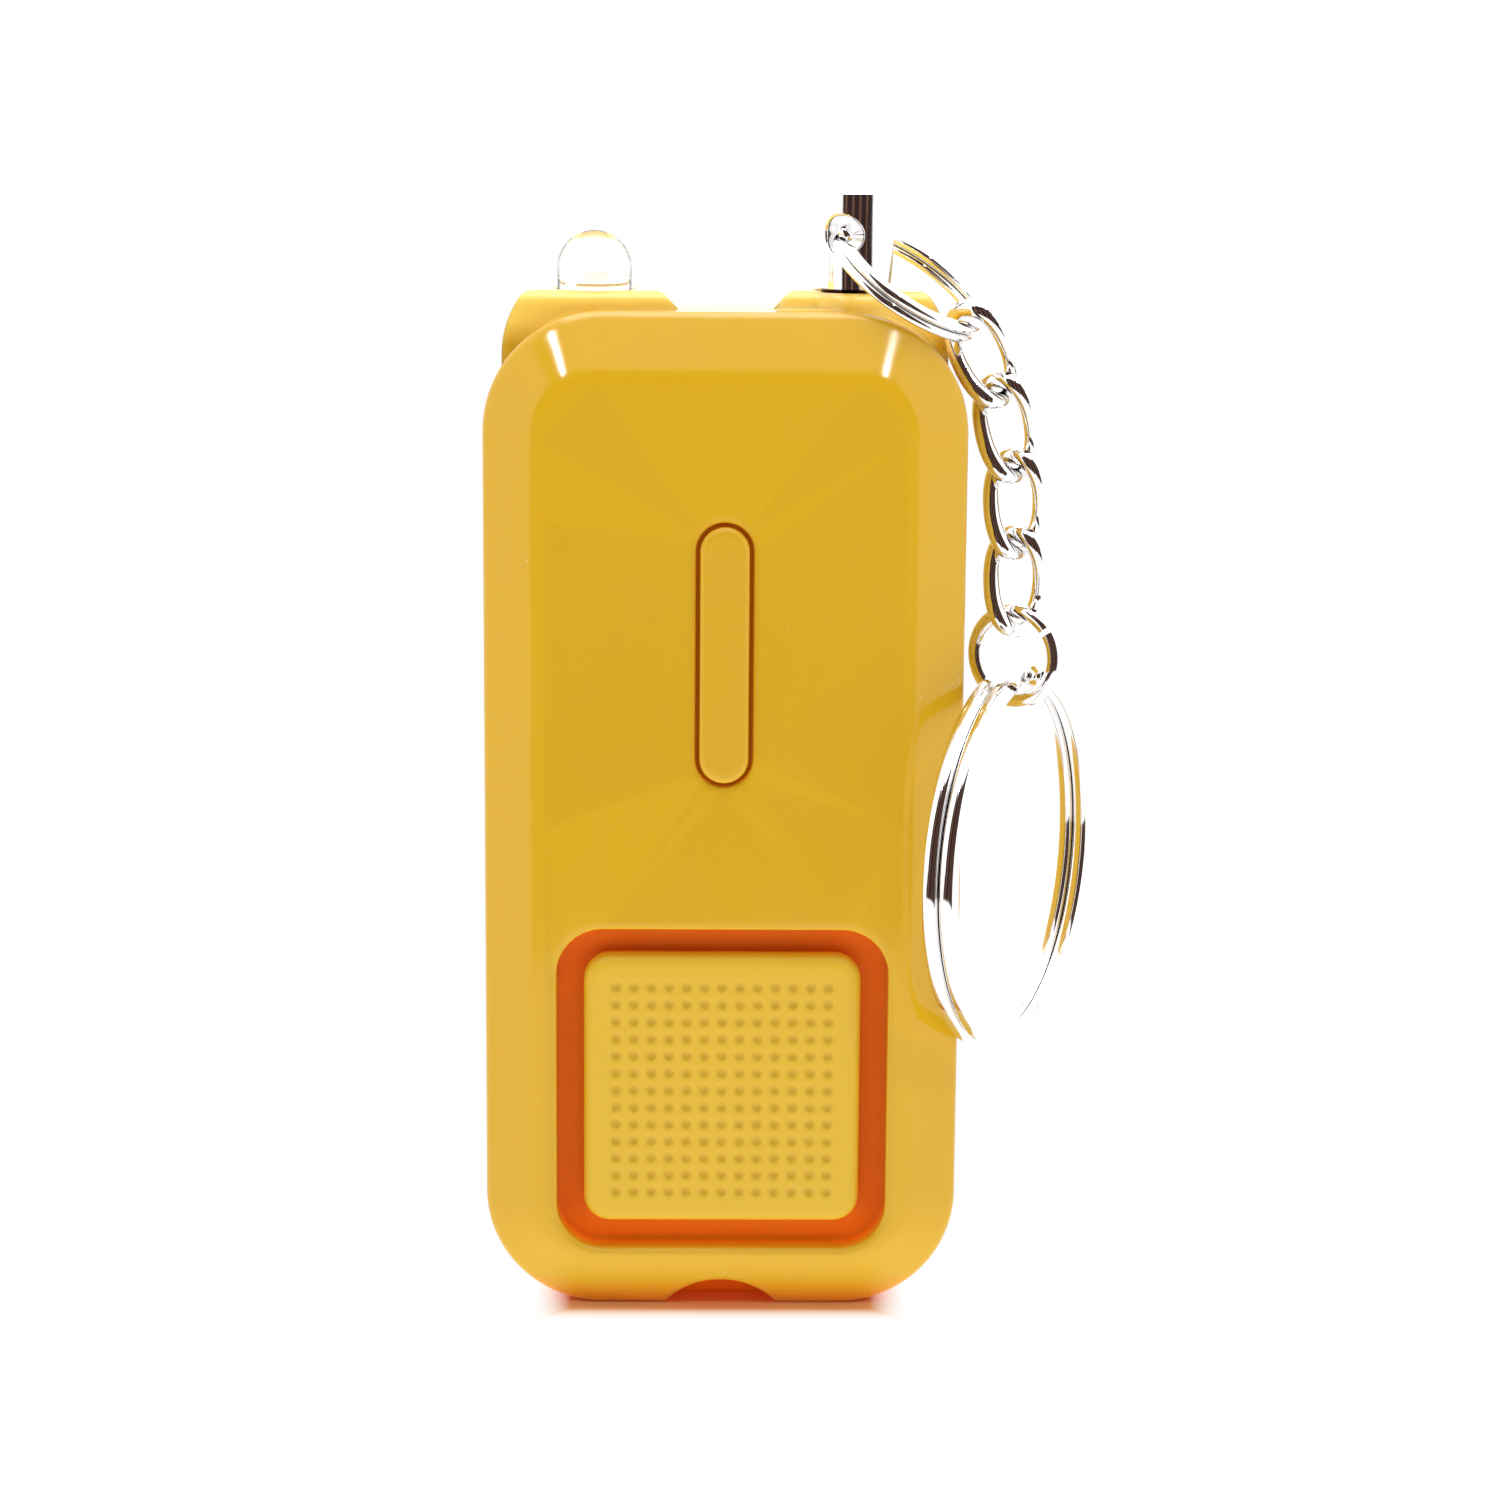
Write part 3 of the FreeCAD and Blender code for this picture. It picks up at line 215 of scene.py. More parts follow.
def soft_normal(r):
    """The direction of a face for the bump: flat or smoothed, and blended over each edge."""
    way = r.add("ShaderNodeNewGeometry").outputs
    x, y, z = (r.maths("ABSOLUTE", part) for part in r.split(way["True Normal"]))
    flatness = r.maths("MAXIMUM", r.maths("MAXIMUM", x, y), z)
    start = r.add("ShaderNodeMix", {"data_type": "VECTOR"})
    parts = ((0, r.ramp(flatness, *FLAT_BAND)), (4, way["Normal"]), (5, way["True Normal"]))
    for index, value in parts:
        r.feed(start.inputs[index], value)
    soft = r.add(
        "ShaderNodeBevel", {"samples": EDGE_SAMPLES}, Radius=EDGE_SOFTNESS, Normal=start.outputs[1]
    )
    return soft.outputs["Normal"]


print("edge softness, mm:", EDGE_SOFTNESS / MM)

# %% [markdown]
# ## Wells and holes
#
# The siren's grille sits in a deep channel, a round notch under the case helps a finger, and the
# lamp and the pin stand in round holes on top. Each could be painted by hand or split off as a
# material of its own. Object coordinates are simpler, because each of these places is a box or a
# round bore, so a few sums tell the recipe how far inside one a point lies.

# %% Wells and holes
FACE_Y = -8.75 * MM
WELL_START = 0.35 * MM
WELL_DEPTH = 2.2 * MM
WELL_SOFT = 0.4 * MM
WELL_BACK = -2.2 * MM
SIREN_HALF = 13.7 * MM
SIREN_MIDDLE = 18.9 * MM
NOTCH_AXIS = (0.0, -3.15 * MM)
NOTCH_RADIUS = 5.64 * MM
BORE_SOFT = 0.04 * MM
LEVEL_SOFT = 0.2 * MM
PIN_AXIS = (10.6 * MM, 2.2 * MM)
PIN_HOLE = 3.62 * MM
LAMP_AXIS = (-10.6 * MM, 2.2 * MM)
LAMP_HOLE = 3.28 * MM
HOLE_TOP = 82.72 * MM


def near_axis(r, first, second, axis, radius):
    """1 within a radius of an axis, 0 outside, from two of the three coordinates."""
    a = r.maths("SUBTRACT", first, axis[0])
    b = r.maths("SUBTRACT", second, axis[1])
    square = r.maths("ADD", r.maths("MULTIPLY", a, a), r.maths("MULTIPLY", b, b))
    return r.ramp(square, radius ** 2, (radius - BORE_SOFT) ** 2)


def outside_by(r, *sides):
    """How far a point is outside a rectangle, from two coordinates, each with half a side."""
    first, second = (r.maths("SUBTRACT", r.maths("ABSOLUTE", at), half) for at, half in sides)
    return r.maths("MAXIMUM", first, second)


def in_wells(r, x, y, z):
    """1 deep in the siren's channel and in the finger notch, 0 on the face and behind."""
    depth = r.ramp(y, FACE_Y + WELL_START, FACE_Y + WELL_DEPTH)
    beside = outside_by(r, (x, SIREN_HALF), (r.maths("SUBTRACT", z, SIREN_MIDDLE), SIREN_HALF))
    siren = r.maths("MULTIPLY", depth, r.ramp(beside, 0.0, -WELL_SOFT))
    both = r.maths("MAXIMUM", siren, near_axis(r, x, z, NOTCH_AXIS, NOTCH_RADIUS))
    return r.maths("MULTIPLY", both, r.ramp(y, WELL_BACK, WELL_BACK - LEVEL_SOFT))


def in_hole(r, x, y, z, axis, radius):
    """1 in a round hole in the top of the case, 0 outside."""
    return r.maths(
        "MULTIPLY", near_axis(r, x, y, axis, radius), r.ramp(z, HOLE_TOP, HOLE_TOP - LEVEL_SOFT)
    )


print("siren channel and lamp hole, mm:", [round(2 * c / MM, 1) for c in (SIREN_HALF, LAMP_HOLE)])

# %% [markdown]
# ## Yellow plastic
#
# The case is moulded in yellow ABS with a high gloss. One flat yellow would look like paint, so
# the recipe lays one tone over another. In the wells, at the foot and in narrow slits the light
# bounces from yellow to yellow until only orange is left, and that orange is painted in as
# painted bounce light and painted shade. An occlusion node finds the slits. On the grille the
# slit tone is a painted light that lifts the shade of its dimples. The thin shoulders beside the
# lamp and the pin get a painted light, the lamp's hole a painted light and the pin's hole a
# painted shade. A few pale dust specks end the stack.

# %% Tones of the plastic
ABS_YELLOW = rgb(216, 168, 30)
# The case's painted bounce light deep in the wells, and its painted shade in narrow slits.
ABS_WELL_BOUNCE = rgb(232, 110, 0)
ABS_SLIT_SHADE = rgb(222, 138, 14)
REAR_SLIT_SHADE = rgb(220, 168, 32)
GRILLE_YELLOW = rgb(220, 177, 34)
# The grille's painted bounce light in its well, and a painted light that lifts the shade of its
# dimples.
GRILLE_WELL_BOUNCE = rgb(236, 176, 38)
GRILLE_SLIT_LIGHT = rgb(246, 202, 60)
BUTTON_YELLOW = rgb(220, 170, 32)
# Painted bounce light at the foot, painted light on the shoulders, painted shade in the pin's hole
# and painted light in the lamp's hole.
FOOT_BOUNCE_TONE = rgb(244, 132, 8)
SHOULDER_LIGHT_TONE = rgb(250, 214, 104)
PIN_HOLE_SHADE = rgb(46, 20, 8)
LAMP_HOLE_LIGHT_TONE = rgb(255, 244, 214)
LAMP_HOLE_LIGHT = (1.0, 0.97, 0.88, 1.0)
DUST_TONE = rgb(250, 240, 205)
NOISE_BAND = (0.3, 0.7)
DRIFT_SCALE = 45.0
DRIFT_BAND = (0.35, 0.65)
DRIFT_SHARE = 0.35
DRIFT_SHADE = 0.94
# The occlusion that places the painted shade in narrow slits.
SLIT_REACH = 2.6 * MM
SLIT_SAMPLES = 8
SLIT_BAND = (0.14, 0.55)
# Heights over which the shoulders take their painted light.
SHOULDER_BAND = (78.5 * MM, 80.5 * MM)
# Height and share of the painted bounce light at the foot.
FOOT_RISE = 2.7 * MM
FOOT_SHARE = 0.85
DUST_SCALE = 1500.0
DUST_BAND = (0.87, 0.89)


def plastic_tones(r, colour, deep, slit, places, dust_share):
    """The colour as a stack of tones, most of them painted light and shade, each over those below.
    """
    drift = r.ramp(r.noise(DRIFT_SCALE, detail=2.0), *DRIFT_BAND, 0.0, DRIFT_SHARE)
    dust = r.ramp(r.noise(DUST_SCALE, detail=0.0), *DUST_BAND, 0.0, dust_share)
    # A random drift in tone and real dust specks, and between them painted shade in slits, painted
    # light on the shoulders, painted bounce light at the foot and in the wells, and painted shade
    # and light in the holes.
    layers = (
        (drift, darker(colour, DRIFT_SHADE)),
        (r.ramp(places["openness"], *SLIT_BAND, 1.0, 0.0), slit),
        (places["shoulder"], SHOULDER_LIGHT_TONE),
        (r.ramp(places["height"], FOOT_RISE, 0.0, 0.0, FOOT_SHARE), FOOT_BOUNCE_TONE),
        (places["wells"], deep),
        (places["pin_hole_shade"], PIN_HOLE_SHADE),
        (places["lamp_hole_light"], LAMP_HOLE_LIGHT_TONE),
        (dust, DUST_TONE),
    )
    for share, tone in layers:
        colour = r.mix(share, colour, tone)
    return colour


print("case yellow in linear values:", [round(part, 3) for part in ABS_YELLOW[:3]])

# %% [markdown]
# ## Glow of the plastic
#
# A path tracer with few bounces loses the light that real plastic passes on from wall to wall and
# through its thin places. More bounces or light inside the plastic could bring it back, but they
# are slow and the second shows the mesh on flat faces. A faint light of the plastic's own, where
# such light gathers, does the same at no cost.

# %% Glow of the plastic
WELL_GLOW = 0.04
WELL_LOW_BAND = (8.5 * MM, 6.3 * MM)
WELL_LOW_GAIN = 6.0
NOTCH_BAND = (2.8 * MM, 3.8 * MM)
NOTCH_GAIN = 0.5
SLIT_GLOW = 0.10
SLIT_GLOW_BAND = (0.05, 0.30)
SHOULDER_GLOW = 0.15
LAMP_HOLE_GLOW = 0.75


def plastic_glow(r, places):
    """How strongly the plastic glows: most low in the siren's channel and under the lamp."""
    wells, lamp_hole_light = places["wells"], places["lamp_hole_light"]
    low = r.ramp(places["height"], *WELL_LOW_BAND, WELL_GLOW, WELL_GLOW * WELL_LOW_GAIN)
    above_notch = r.ramp(places["height"], *NOTCH_BAND, NOTCH_GAIN, 1.0)
    well_glow = r.maths("MULTIPLY", r.maths("MULTIPLY", wells, low), above_notch)
    slits = r.ramp(places["openness"], *SLIT_GLOW_BAND, SLIT_GLOW, 0.0)
    slits = r.maths("MULTIPLY", slits, r.maths("SUBTRACT", 1.0, wells))
    glow = r.maths("MAXIMUM", well_glow, slits)
    glow = r.maths("ADD", glow, r.maths("MULTIPLY", lamp_hole_light, LAMP_HOLE_GLOW))
    return r.maths("MAXIMUM", glow, r.maths("MULTIPLY", places["shoulder"], SHOULDER_GLOW))


print("glow in a well and under the lamp:", WELL_GLOW, LAMP_HOLE_GLOW)

# %% [markdown]
# ## The whole recipe
#
# Tones and glow come together with a gloss that varies a little and is dull in the wells, where
# the mould was not polished. Its fine orange peel goes into the bump, as it is too shallow for
# the mesh. The shell, the grille and the button differ a little, so each gets its own tones.

# %% The whole recipe
GLOSS_SCALE = 160.0
GLOSS_SPREAD = (0.85, 1.2)
WELL_ROUGHNESS = 0.85
ABS_IOR = 1.46
PEEL_SCALE = 900.0
PEEL_DEPTH = 0.004 * MM
PEEL_STRENGTH = 0.6


def yellow_plastic(name, colour, deep, slit, roughness, dust_share, pale=0.0):
    """The plastic in one tone, with painted bounce light deep in a well, painted shading in a slit
    and painted light on the shoulders.
    """
    r = Recipe(name)
    x, y, z = r.split(r.place)
    gap = r.add("ShaderNodeAmbientOcclusion", {"samples": SLIT_SAMPLES}, Distance=SLIT_REACH)
    places = {
        "height": z,
        "openness": gap.outputs["AO"],
        # The shoulders get a painted light, by height.
        "shoulder": r.ramp(z, *SHOULDER_BAND, 0.0, pale),
        "wells": in_wells(r, x, y, z),
        # The pin's hole gets a painted shade.
        "pin_hole_shade": in_hole(r, x, y, z, PIN_AXIS, PIN_HOLE),
        # The lamp's hole gets a painted light, in its colour and in its glow.
        "lamp_hole_light": in_hole(r, x, y, z, LAMP_AXIS, LAMP_HOLE),
    }
    low, high = (roughness * part for part in GLOSS_SPREAD)
    gloss = r.ramp(r.noise(GLOSS_SCALE, detail=4.0), *NOISE_BAND, low, high)
    dull = r.maths("MULTIPLY", places["wells"], WELL_ROUGHNESS)
    r.set(Base_Color=plastic_tones(r, colour, deep, slit, places, dust_share), IOR=ABS_IOR)
    r.set(Roughness=r.maths("MAXIMUM", gloss, dull))
    warm = r.mix(places["wells"], r.mix(places["shoulder"], slit, colour), deep)
    r.set(Emission_Color=r.mix(places["lamp_hole_light"], warm, LAMP_HOLE_LIGHT))
    r.set(Emission_Strength=plastic_glow(r, places))
    r.bump(r.noise(PEEL_SCALE, detail=2.0), PEEL_DEPTH, PEEL_STRENGTH, soft_normal(r))
    return r.material


shell_finish = yellow_plastic(
    "yellow_shell", ABS_YELLOW, ABS_WELL_BOUNCE, ABS_SLIT_SHADE, roughness=0.12, dust_share=0.30
)
# The rear shell carries the painted light on its shoulders.
rear_finish = yellow_plastic(
    "yellow_rear", ABS_YELLOW, ABS_WELL_BOUNCE, REAR_SLIT_SHADE, roughness=0.12, dust_share=0.15, pale=0.85
)
grille_finish = yellow_plastic(
    "yellow_grille", GRILLE_YELLOW, GRILLE_WELL_BOUNCE, GRILLE_SLIT_LIGHT, roughness=0.42, dust_share=0.0
)
button_finish = yellow_plastic(
    "yellow_button", BUTTON_YELLOW, ABS_WELL_BOUNCE, ABS_SLIT_SHADE, roughness=0.20, dust_share=0.0
)
yellow_finishes = (shell_finish, rear_finish, grille_finish, button_finish)
print("yellow finishes:", [finish.name for finish in yellow_finishes])

# %% [markdown]
# ## Bright plated metal
#
# The rings, the chain and the pin are nickel and chrome plated steel. Plating is a nearly perfect
# mirror, so what it shows is its surroundings, and a plain grey could never stand in for it. Its
# own detail is slight: hair-fine polishing lines, a faint cloudiness and the rings that the lathe
# left on the pin. The dark line round the pin where it enters the case is a painted shadow.

# %% Plated metal
CHROME = rgb(250, 249, 249)
CLOUD_SCALE = 210.0
CLOUD_BAND = (0.35, 0.7)
CLOUD_SHADE = 0.96
CLOUD_SPREAD = (0.7, 1.5)
WIRE_LINES = (900, 900, 900)
WIRE_LINE_DEPTH = 0.0015 * MM
LATHE_LINES = (120, 120, 9000)
LATHE_LINE_DEPTH = 0.0012 * MM
# Heights of the painted shadow at the pin's foot.
PIN_FOOT = (82.4 * MM, 83.08 * MM)
PIN_FOOT_SOFT = 0.1 * MM
PIN_FOOT_SHADOW = rgb(46, 22, 14)


def plated_metal(name, roughness, lines, line_depth, foot=False):
    """Chrome plate with fine lines in its bump, and with a painted shadow line at the pin's foot.
    """
    r = Recipe(name)
    cloud = r.noise(CLOUD_SCALE, detail=4.0)
    base = r.mix(r.ramp(cloud, *CLOUD_BAND), CHROME, darker(CHROME, CLOUD_SHADE))
    # The painted shadow round the pin's foot.
    if foot:
        z = r.split(r.place)[2]
        low, high = PIN_FOOT
        above = r.ramp(z, low, low + PIN_FOOT_SOFT)
        below = r.ramp(z, high, high - PIN_FOOT_SOFT)
        base = r.mix(r.maths("MULTIPLY", above, below), base, PIN_FOOT_SHADOW)
    low, high = (roughness * part for part in CLOUD_SPREAD)
    r.set(Base_Color=base, Metallic=1.0, Roughness=r.ramp(cloud, *NOISE_BAND, low, high))
    r.bump(r.grain(lines, detail=2.0), line_depth)
    return r.material


chrome_wire = plated_metal("chrome_wire", 0.06, WIRE_LINES, WIRE_LINE_DEPTH)
chrome_turned = plated_metal("chrome_turned", 0.09, LATHE_LINES, LATHE_LINE_DEPTH, foot=True)
print("plated finishes:", chrome_wire.name, chrome_turned.name)

# %% [markdown]
# ## Clear lamp
#
# The torch lamp is cast in clear epoxy, so it bends light like glass. Blender has a Glass shader,
# but the Principled shader with full transmission is the one that other programs can read. The
# very top of the dome gathers the yellow of the case below it. Few light paths find their way
# there, so the recipe tints it.

# %% Clear lamp
EPOXY = (1.0, 0.99, 0.96, 1.0)
EPOXY_IOR = 1.54
EPOXY_CLOUDS = 300.0
EPOXY_ROUGHNESS = 0.03
EPOXY_WAVES = 350.0
EPOXY_WAVE_DEPTH = 0.004 * MM
EPOXY_WAVE_STRENGTH = 0.5
# The painted yellow light at the very top of the dome.
CAP_BAND = (86.75 * MM, 87.0 * MM)
CAP_LIGHT_TONE = rgb(252, 214, 96)


def clear_epoxy():
    r = Recipe("clear_epoxy")
    cap = r.ramp(r.split(r.place)[2], *CAP_BAND)
    r.set(Base_Color=r.mix(cap, EPOXY, CAP_LIGHT_TONE), Transmission_Weight=1.0, IOR=EPOXY_IOR)
    r.set(Roughness=r.ramp(r.noise(EPOXY_CLOUDS), *NOISE_BAND, 0.0, EPOXY_ROUGHNESS))
    r.bump(r.noise(EPOXY_WAVES, detail=1.0), EPOXY_WAVE_DEPTH, EPOXY_WAVE_STRENGTH)
    return r.material


lamp_finish = clear_epoxy()
print("lamp finish:", lamp_finish.name)

# %% [markdown]
# ## The pieces inside
#
# The pieces inside are out of sight unless the door or the case is open, but each still gets a
# fitting finish. A recipe for each would be long, so they share one that varies colour and
# roughness a little along a grain. A grain that is stretched along an axis makes metal look drawn,
# turned or wound. The frame that the lamp's legs end in shows through the epoxy. Few light paths
# reach it there, so it glows a little.

# %% Finishes inside
GRAIN_SHADE = 0.82
GRAIN_SPREAD = (0.85, 1.15)
GRAIN_DEPTH = 0.004 * MM
GRAIN_STRENGTH = 0.7
EVEN_GRAIN = (400, 400, 400)
FRAME_GLOW = 0.62


def plain(name, colour, roughness, metallic=0.0, grain=EVEN_GRAIN, glow=0.0):
    """A plain material, a little darker and duller along its grain."""
    r = Recipe(name)
    tone = r.grain(grain)
    share = r.ramp(tone, *NOISE_BAND)
    low, high = (roughness * part for part in GRAIN_SPREAD)
    r.set(Base_Color=r.mix(share, colour, darker(colour, GRAIN_SHADE)), Metallic=metallic)
    r.set(Roughness=r.ramp(tone, *NOISE_BAND, low, high))
    r.set(Emission_Color=colour, Emission_Strength=glow)
    r.bump(tone, GRAIN_DEPTH, GRAIN_STRENGTH)
    return r.material


INSIDE_FINISHES = {
    "spring_brass": (rgb(214, 176, 96), 0.28, 1.0, (80, 80, 2500)),
    "tinned_metal": (rgb(205, 205, 204), 0.30, 1.0, (900, 900, 200)),
    "cell_steel": (rgb(212, 212, 214), 0.22, 1.0, (60, 2500, 2500)),
    "screw_steel": (rgb(176, 177, 180), 0.30, 1.0, (700, 700, 700)),
    "copper_wire": (rgb(186, 102, 58), 0.30, 1.0, (200, 9000, 200)),
    "disc_brass": (rgb(212, 178, 104), 0.25, 1.0, (300, 300, 300)),
    "board_green": (rgb(34, 104, 58), 0.35),
    "dark_moulding": (rgb(38, 38, 40), 0.50),
    "grey_moulding": (rgb(150, 150, 147), 0.50),
    "pale_ceramic": (rgb(226, 222, 208), 0.55),
    "dark_rubber": (rgb(30, 30, 31), 0.70),
}
finish_of_slot = {name: plain(name, *row) for name, row in INSIDE_FINISHES.items()}
frame_finish = plain("lead_frame", rgb(246, 245, 241), 0.45, 0.0, (500, 500, 500), FRAME_GLOW)
print("finishes inside:", len(finish_of_slot) + 1)

# %% [markdown]
# ## A finish for every piece
#
# The solid model says which kind of material each piece is made of. A few pieces share a kind but
# look different, such as the smooth shell and the duller grille, so they are named one by one and
# go before the list of kinds.

# %% A finish for every piece
finish_of_slot["yellow_shell"] = shell_finish
finish_of_slot["clear_lens"] = lamp_finish
finish_of_slot["bright_metal"] = chrome_wire
finish_of_node = {
    "rear_cover": rear_finish,
    "torch_leads": frame_finish,
    "siren_grille": grille_finish,
    "torch_button": button_finish,
    "pull_pin": chrome_turned,
}
for row in frame["record"]["subparts"]:
    finish = finish_of_node.get(row["node"], finish_of_slot[row["material_slot"]])
    for slot in nodes[row["node"]].material_slots:
        slot.material = finish

# %% [markdown]
# ## The torch lamp
#
# A lamp like this is cast in one piece: a straight barrel under a half-round top, with a small
# flange that holds it behind the case. Cast epoxy is solid, so light bends once on its way in and
# once on its way out. A sphere and a cylinder could be joined, but spinning half of the outline
# round its axis gives the whole body in one go, closed and with the flange's small corners.

# %% Pieces from a bmesh
SPIN_STEPS = 72
MERGE_WITHIN = 0.001 * MM


def spun(outline, axis):
    """A solid from half of its outline, given as radius and height in mm from the axis outwards."""
    axis_x, axis_y = (c / MM for c in axis)
    bm = bmesh.new()
    places = [Vector((axis_x + radius, axis_y, height)) * MM for radius, height in outline]
    points = [bm.verts.new(place) for place in places]
    edges = [bm.edges.new(pair) for pair in zip(points, points[1:])]
    bmesh.ops.spin(
        bm, geom=points + edges, cent=Vector((axis_x, axis_y, 0.0)) * MM, axis=(0, 0, 1),
        angle=math.tau, steps=SPIN_STEPS, use_merge=True,
    )
    bmesh.ops.remove_doubles(bm, verts=bm.verts, dist=MERGE_WITHIN)
    bmesh.ops.recalc_face_normals(bm, faces=bm.faces)
    return bm


def piece_from(bm, name, body, material):
    """A smooth piece from a bmesh, riding on a body of the model."""
    mesh = bpy.data.meshes.new(name)
    for face in bm.faces:
        face.smooth = True
    bm.to_mesh(mesh)
    bm.free()
    mesh.materials.append(material)
    piece = bpy.data.objects.new(name, mesh)
    scene.collection.objects.link(piece)
    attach(piece, body)
    print(name, "triangles:", sum(len(p.vertices) - 2 for p in mesh.polygons))
    return piece


print("degrees between two steps of a spin:", 360 / SPIN_STEPS)

# %% Torch lamp
LAMP_RADIUS = 3.0
LAMP_TOP = 87.55
FLANGE_RADIUS = 3.5
FLANGE_BOTTOM = 79.05
FLANGE_TOP = 79.85
CORNER = 0.1
DOME_STEPS = 16

lamp_outline = [
    (0.0, FLANGE_BOTTOM),
    (FLANGE_RADIUS - CORNER, FLANGE_BOTTOM),
    (FLANGE_RADIUS, FLANGE_BOTTOM + CORNER),
    (FLANGE_RADIUS, FLANGE_TOP - CORNER),
    (FLANGE_RADIUS - CORNER, FLANGE_TOP),
    (LAMP_RADIUS + CORNER, FLANGE_TOP),
    (LAMP_RADIUS, FLANGE_TOP + CORNER),
]
dome_base = LAMP_TOP - LAMP_RADIUS
for step in range(DOME_STEPS + 1):
    rise = math.pi / 2 * step / DOME_STEPS
    lamp_outline.append((LAMP_RADIUS * math.cos(rise), dome_base + LAMP_RADIUS * math.sin(rise)))
lamp_body = spun(lamp_outline, LAMP_AXIS)
lamp_piece = piece_from(lamp_body, "lamp_body", "casing", lamp_finish)
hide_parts("torch_lens")

# %% [markdown]
# ## Split rings
#
# A split ring is one flat wire wound twice round, with a short sloping step where it changes from
# one turn to the other. The wire's corners are well rounded, which draws the reflections into fine
# curved lines. A curve with a bevel could make it, but its section would lean on the step. Here
# one section of the wire is spun round the axis: level for the first turn, rising through the
# step, and level again for the second turn. The open ends are closed afterwards.

# %% Split ring shape
SECTION_POINTS = 24
SECTION_SQUARENESS = 2.9
TURN_STEPS = 110
STEP_STEPS = 10
RING_STEP = math.radians(24)
RING_TURN_GAP = 0.05


def rounded(value):
    """Pushes a circle's coordinate outwards, which turns it into a square with round corners."""
    return math.copysign(abs(value) ** (2 / SECTION_SQUARENESS), value)


def split_ring(radius, wire, coil):
    """The two-turn ring about Z, in mm: its outer radius, the wire's width and its thickness."""
    bm = bmesh.new()
    rise = coil + RING_TURN_GAP
    loop = []
    for i in range(SECTION_POINTS):
        t = math.tau * i / SECTION_POINTS
        out = radius - wire / 2 + wire / 2 * rounded(math.cos(t))
        loop.append(bm.verts.new((out, 0.0, coil / 2 * rounded(math.sin(t)) - rise / 2)))
    edges = [bm.edges.new((a, b)) for a, b in zip(loop, loop[1:] + loop[:1])]
    section = {"geom_last": loop + edges}
    level_turn = (math.tau - RING_STEP, TURN_STEPS, 0.0)
    moves = [level_turn]
    for i in range(STEP_STEPS):
        before, after = (math.cos(math.pi * (i + more) / STEP_STEPS) for more in (0, 1))
        moves.append((RING_STEP / STEP_STEPS, 1, rise * (before - after) / 2))
    moves.append(level_turn)
    for angle, steps, lift in moves:
        section = bmesh.ops.spin(
            bm, geom=section["geom_last"], cent=(0, 0, 0), axis=(0, 0, 1),
            dvec=(0, 0, lift / steps), angle=angle, steps=steps,
        )
    bmesh.ops.holes_fill(bm, edges=[e for e in bm.edges if e.is_boundary], sides=SECTION_POINTS)
    bmesh.ops.recalc_face_normals(bm, faces=bm.faces)
    return bm


def placed(bm, way_x, way_y, centre):
    """Turns a shape so that its X and Y run along two directions, and moves it to its centre."""
    turn = Matrix((way_x, way_y, way_x.cross(way_y))).transposed().to_4x4()
    move = Matrix.Scale(MM, 4) @ Matrix.Translation(centre) @ turn
    bmesh.ops.transform(bm, matrix=move, verts=bm.verts)
    return bm


def turned_ways(way_x, way_y, degrees):
    """Two directions, turned together in their own plane, which moves the ends of the wire."""
    angle = math.radians(degrees)
    start = way_x * math.cos(angle) + way_y * math.sin(angle)
    return start, way_y * math.cos(angle) - way_x * math.sin(angle)


print("wire sections in a split ring:", 2 * TURN_STEPS + STEP_STEPS + 1)

# %% [markdown]
# ## Key ring
#
# The key ring hangs upright in the round jump ring and is seen nearly from its side. The solid
# model's ring has only small corner rounds, which a mirror finish would show as flat bands, so
# one with a fuller section takes its place. The wire could end anywhere on the ring. Here its ends
# are turned behind the jump ring, where they don't show.

# %% Key ring
KEY_RING_SIZE = {"radius": 15.8, "wire": 1.6, "coil": 1.4}
KEY_RING_CENTRE = Vector((23.6186, -2.1912, 37.006))
KEY_RING_TURN = math.radians(63.6)
KEY_RING_WAY = Vector((math.cos(KEY_RING_TURN), math.sin(KEY_RING_TURN), 0))
KEY_RING_ENDS = 102.0
UP = Vector((0, 0, 1))

key_ring_ways = turned_ways(KEY_RING_WAY, UP, KEY_RING_ENDS)
key_ring_shape = placed(split_ring(**KEY_RING_SIZE), *key_ring_ways, KEY_RING_CENTRE)
key_ring = piece_from(key_ring_shape, "key_ring_coil", "large_ring", chrome_wire)
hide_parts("key_ring")

# %% [markdown]
# ## Ring through the pin
#
# The small ring goes through the eye of the pin and leans down over the corner of the case. Three
# angles could place it, but two directions from the solid model are easier to read: the way that
# it leans, and the way that the eye runs. A turn in its own plane puts its step just outside the
# eye.

# %% Ring through the pin
PIN_RING_SIZE = {"radius": 7.1, "wire": 1.2, "coil": 0.78}
PIN_RING_CENTRE = Vector((14.8738, -0.2675, 83.7145))
PIN_RING_WAY = Vector((0.70063, -0.40451, -0.58779))
PIN_EYE_WAY = Vector((0.5, 0.866025, 0))
PIN_RING_ENDS = -30.0

pin_ring_ways = turned_ways(-PIN_RING_WAY, PIN_EYE_WAY, PIN_RING_ENDS)
pin_ring_shape = placed(split_ring(**PIN_RING_SIZE), *pin_ring_ways, PIN_RING_CENTRE)
pin_ring = piece_from(pin_ring_shape, "pin_ring_coil", "small_ring", chrome_wire)
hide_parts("pin_ring")

# %% [markdown]
# ## The tent's opening
#
# The alarm stood in a bright tent of white cloth, open towards the camera. Shiny metal shows what
# is behind the camera, so that opening decides how it looks: a dark room with a few paler brown
# uprights. A wall could be built there, but it would also keep light from the case. Both the floor
# and the world know the opening by its bearing instead, and show the room to mirrors alone.

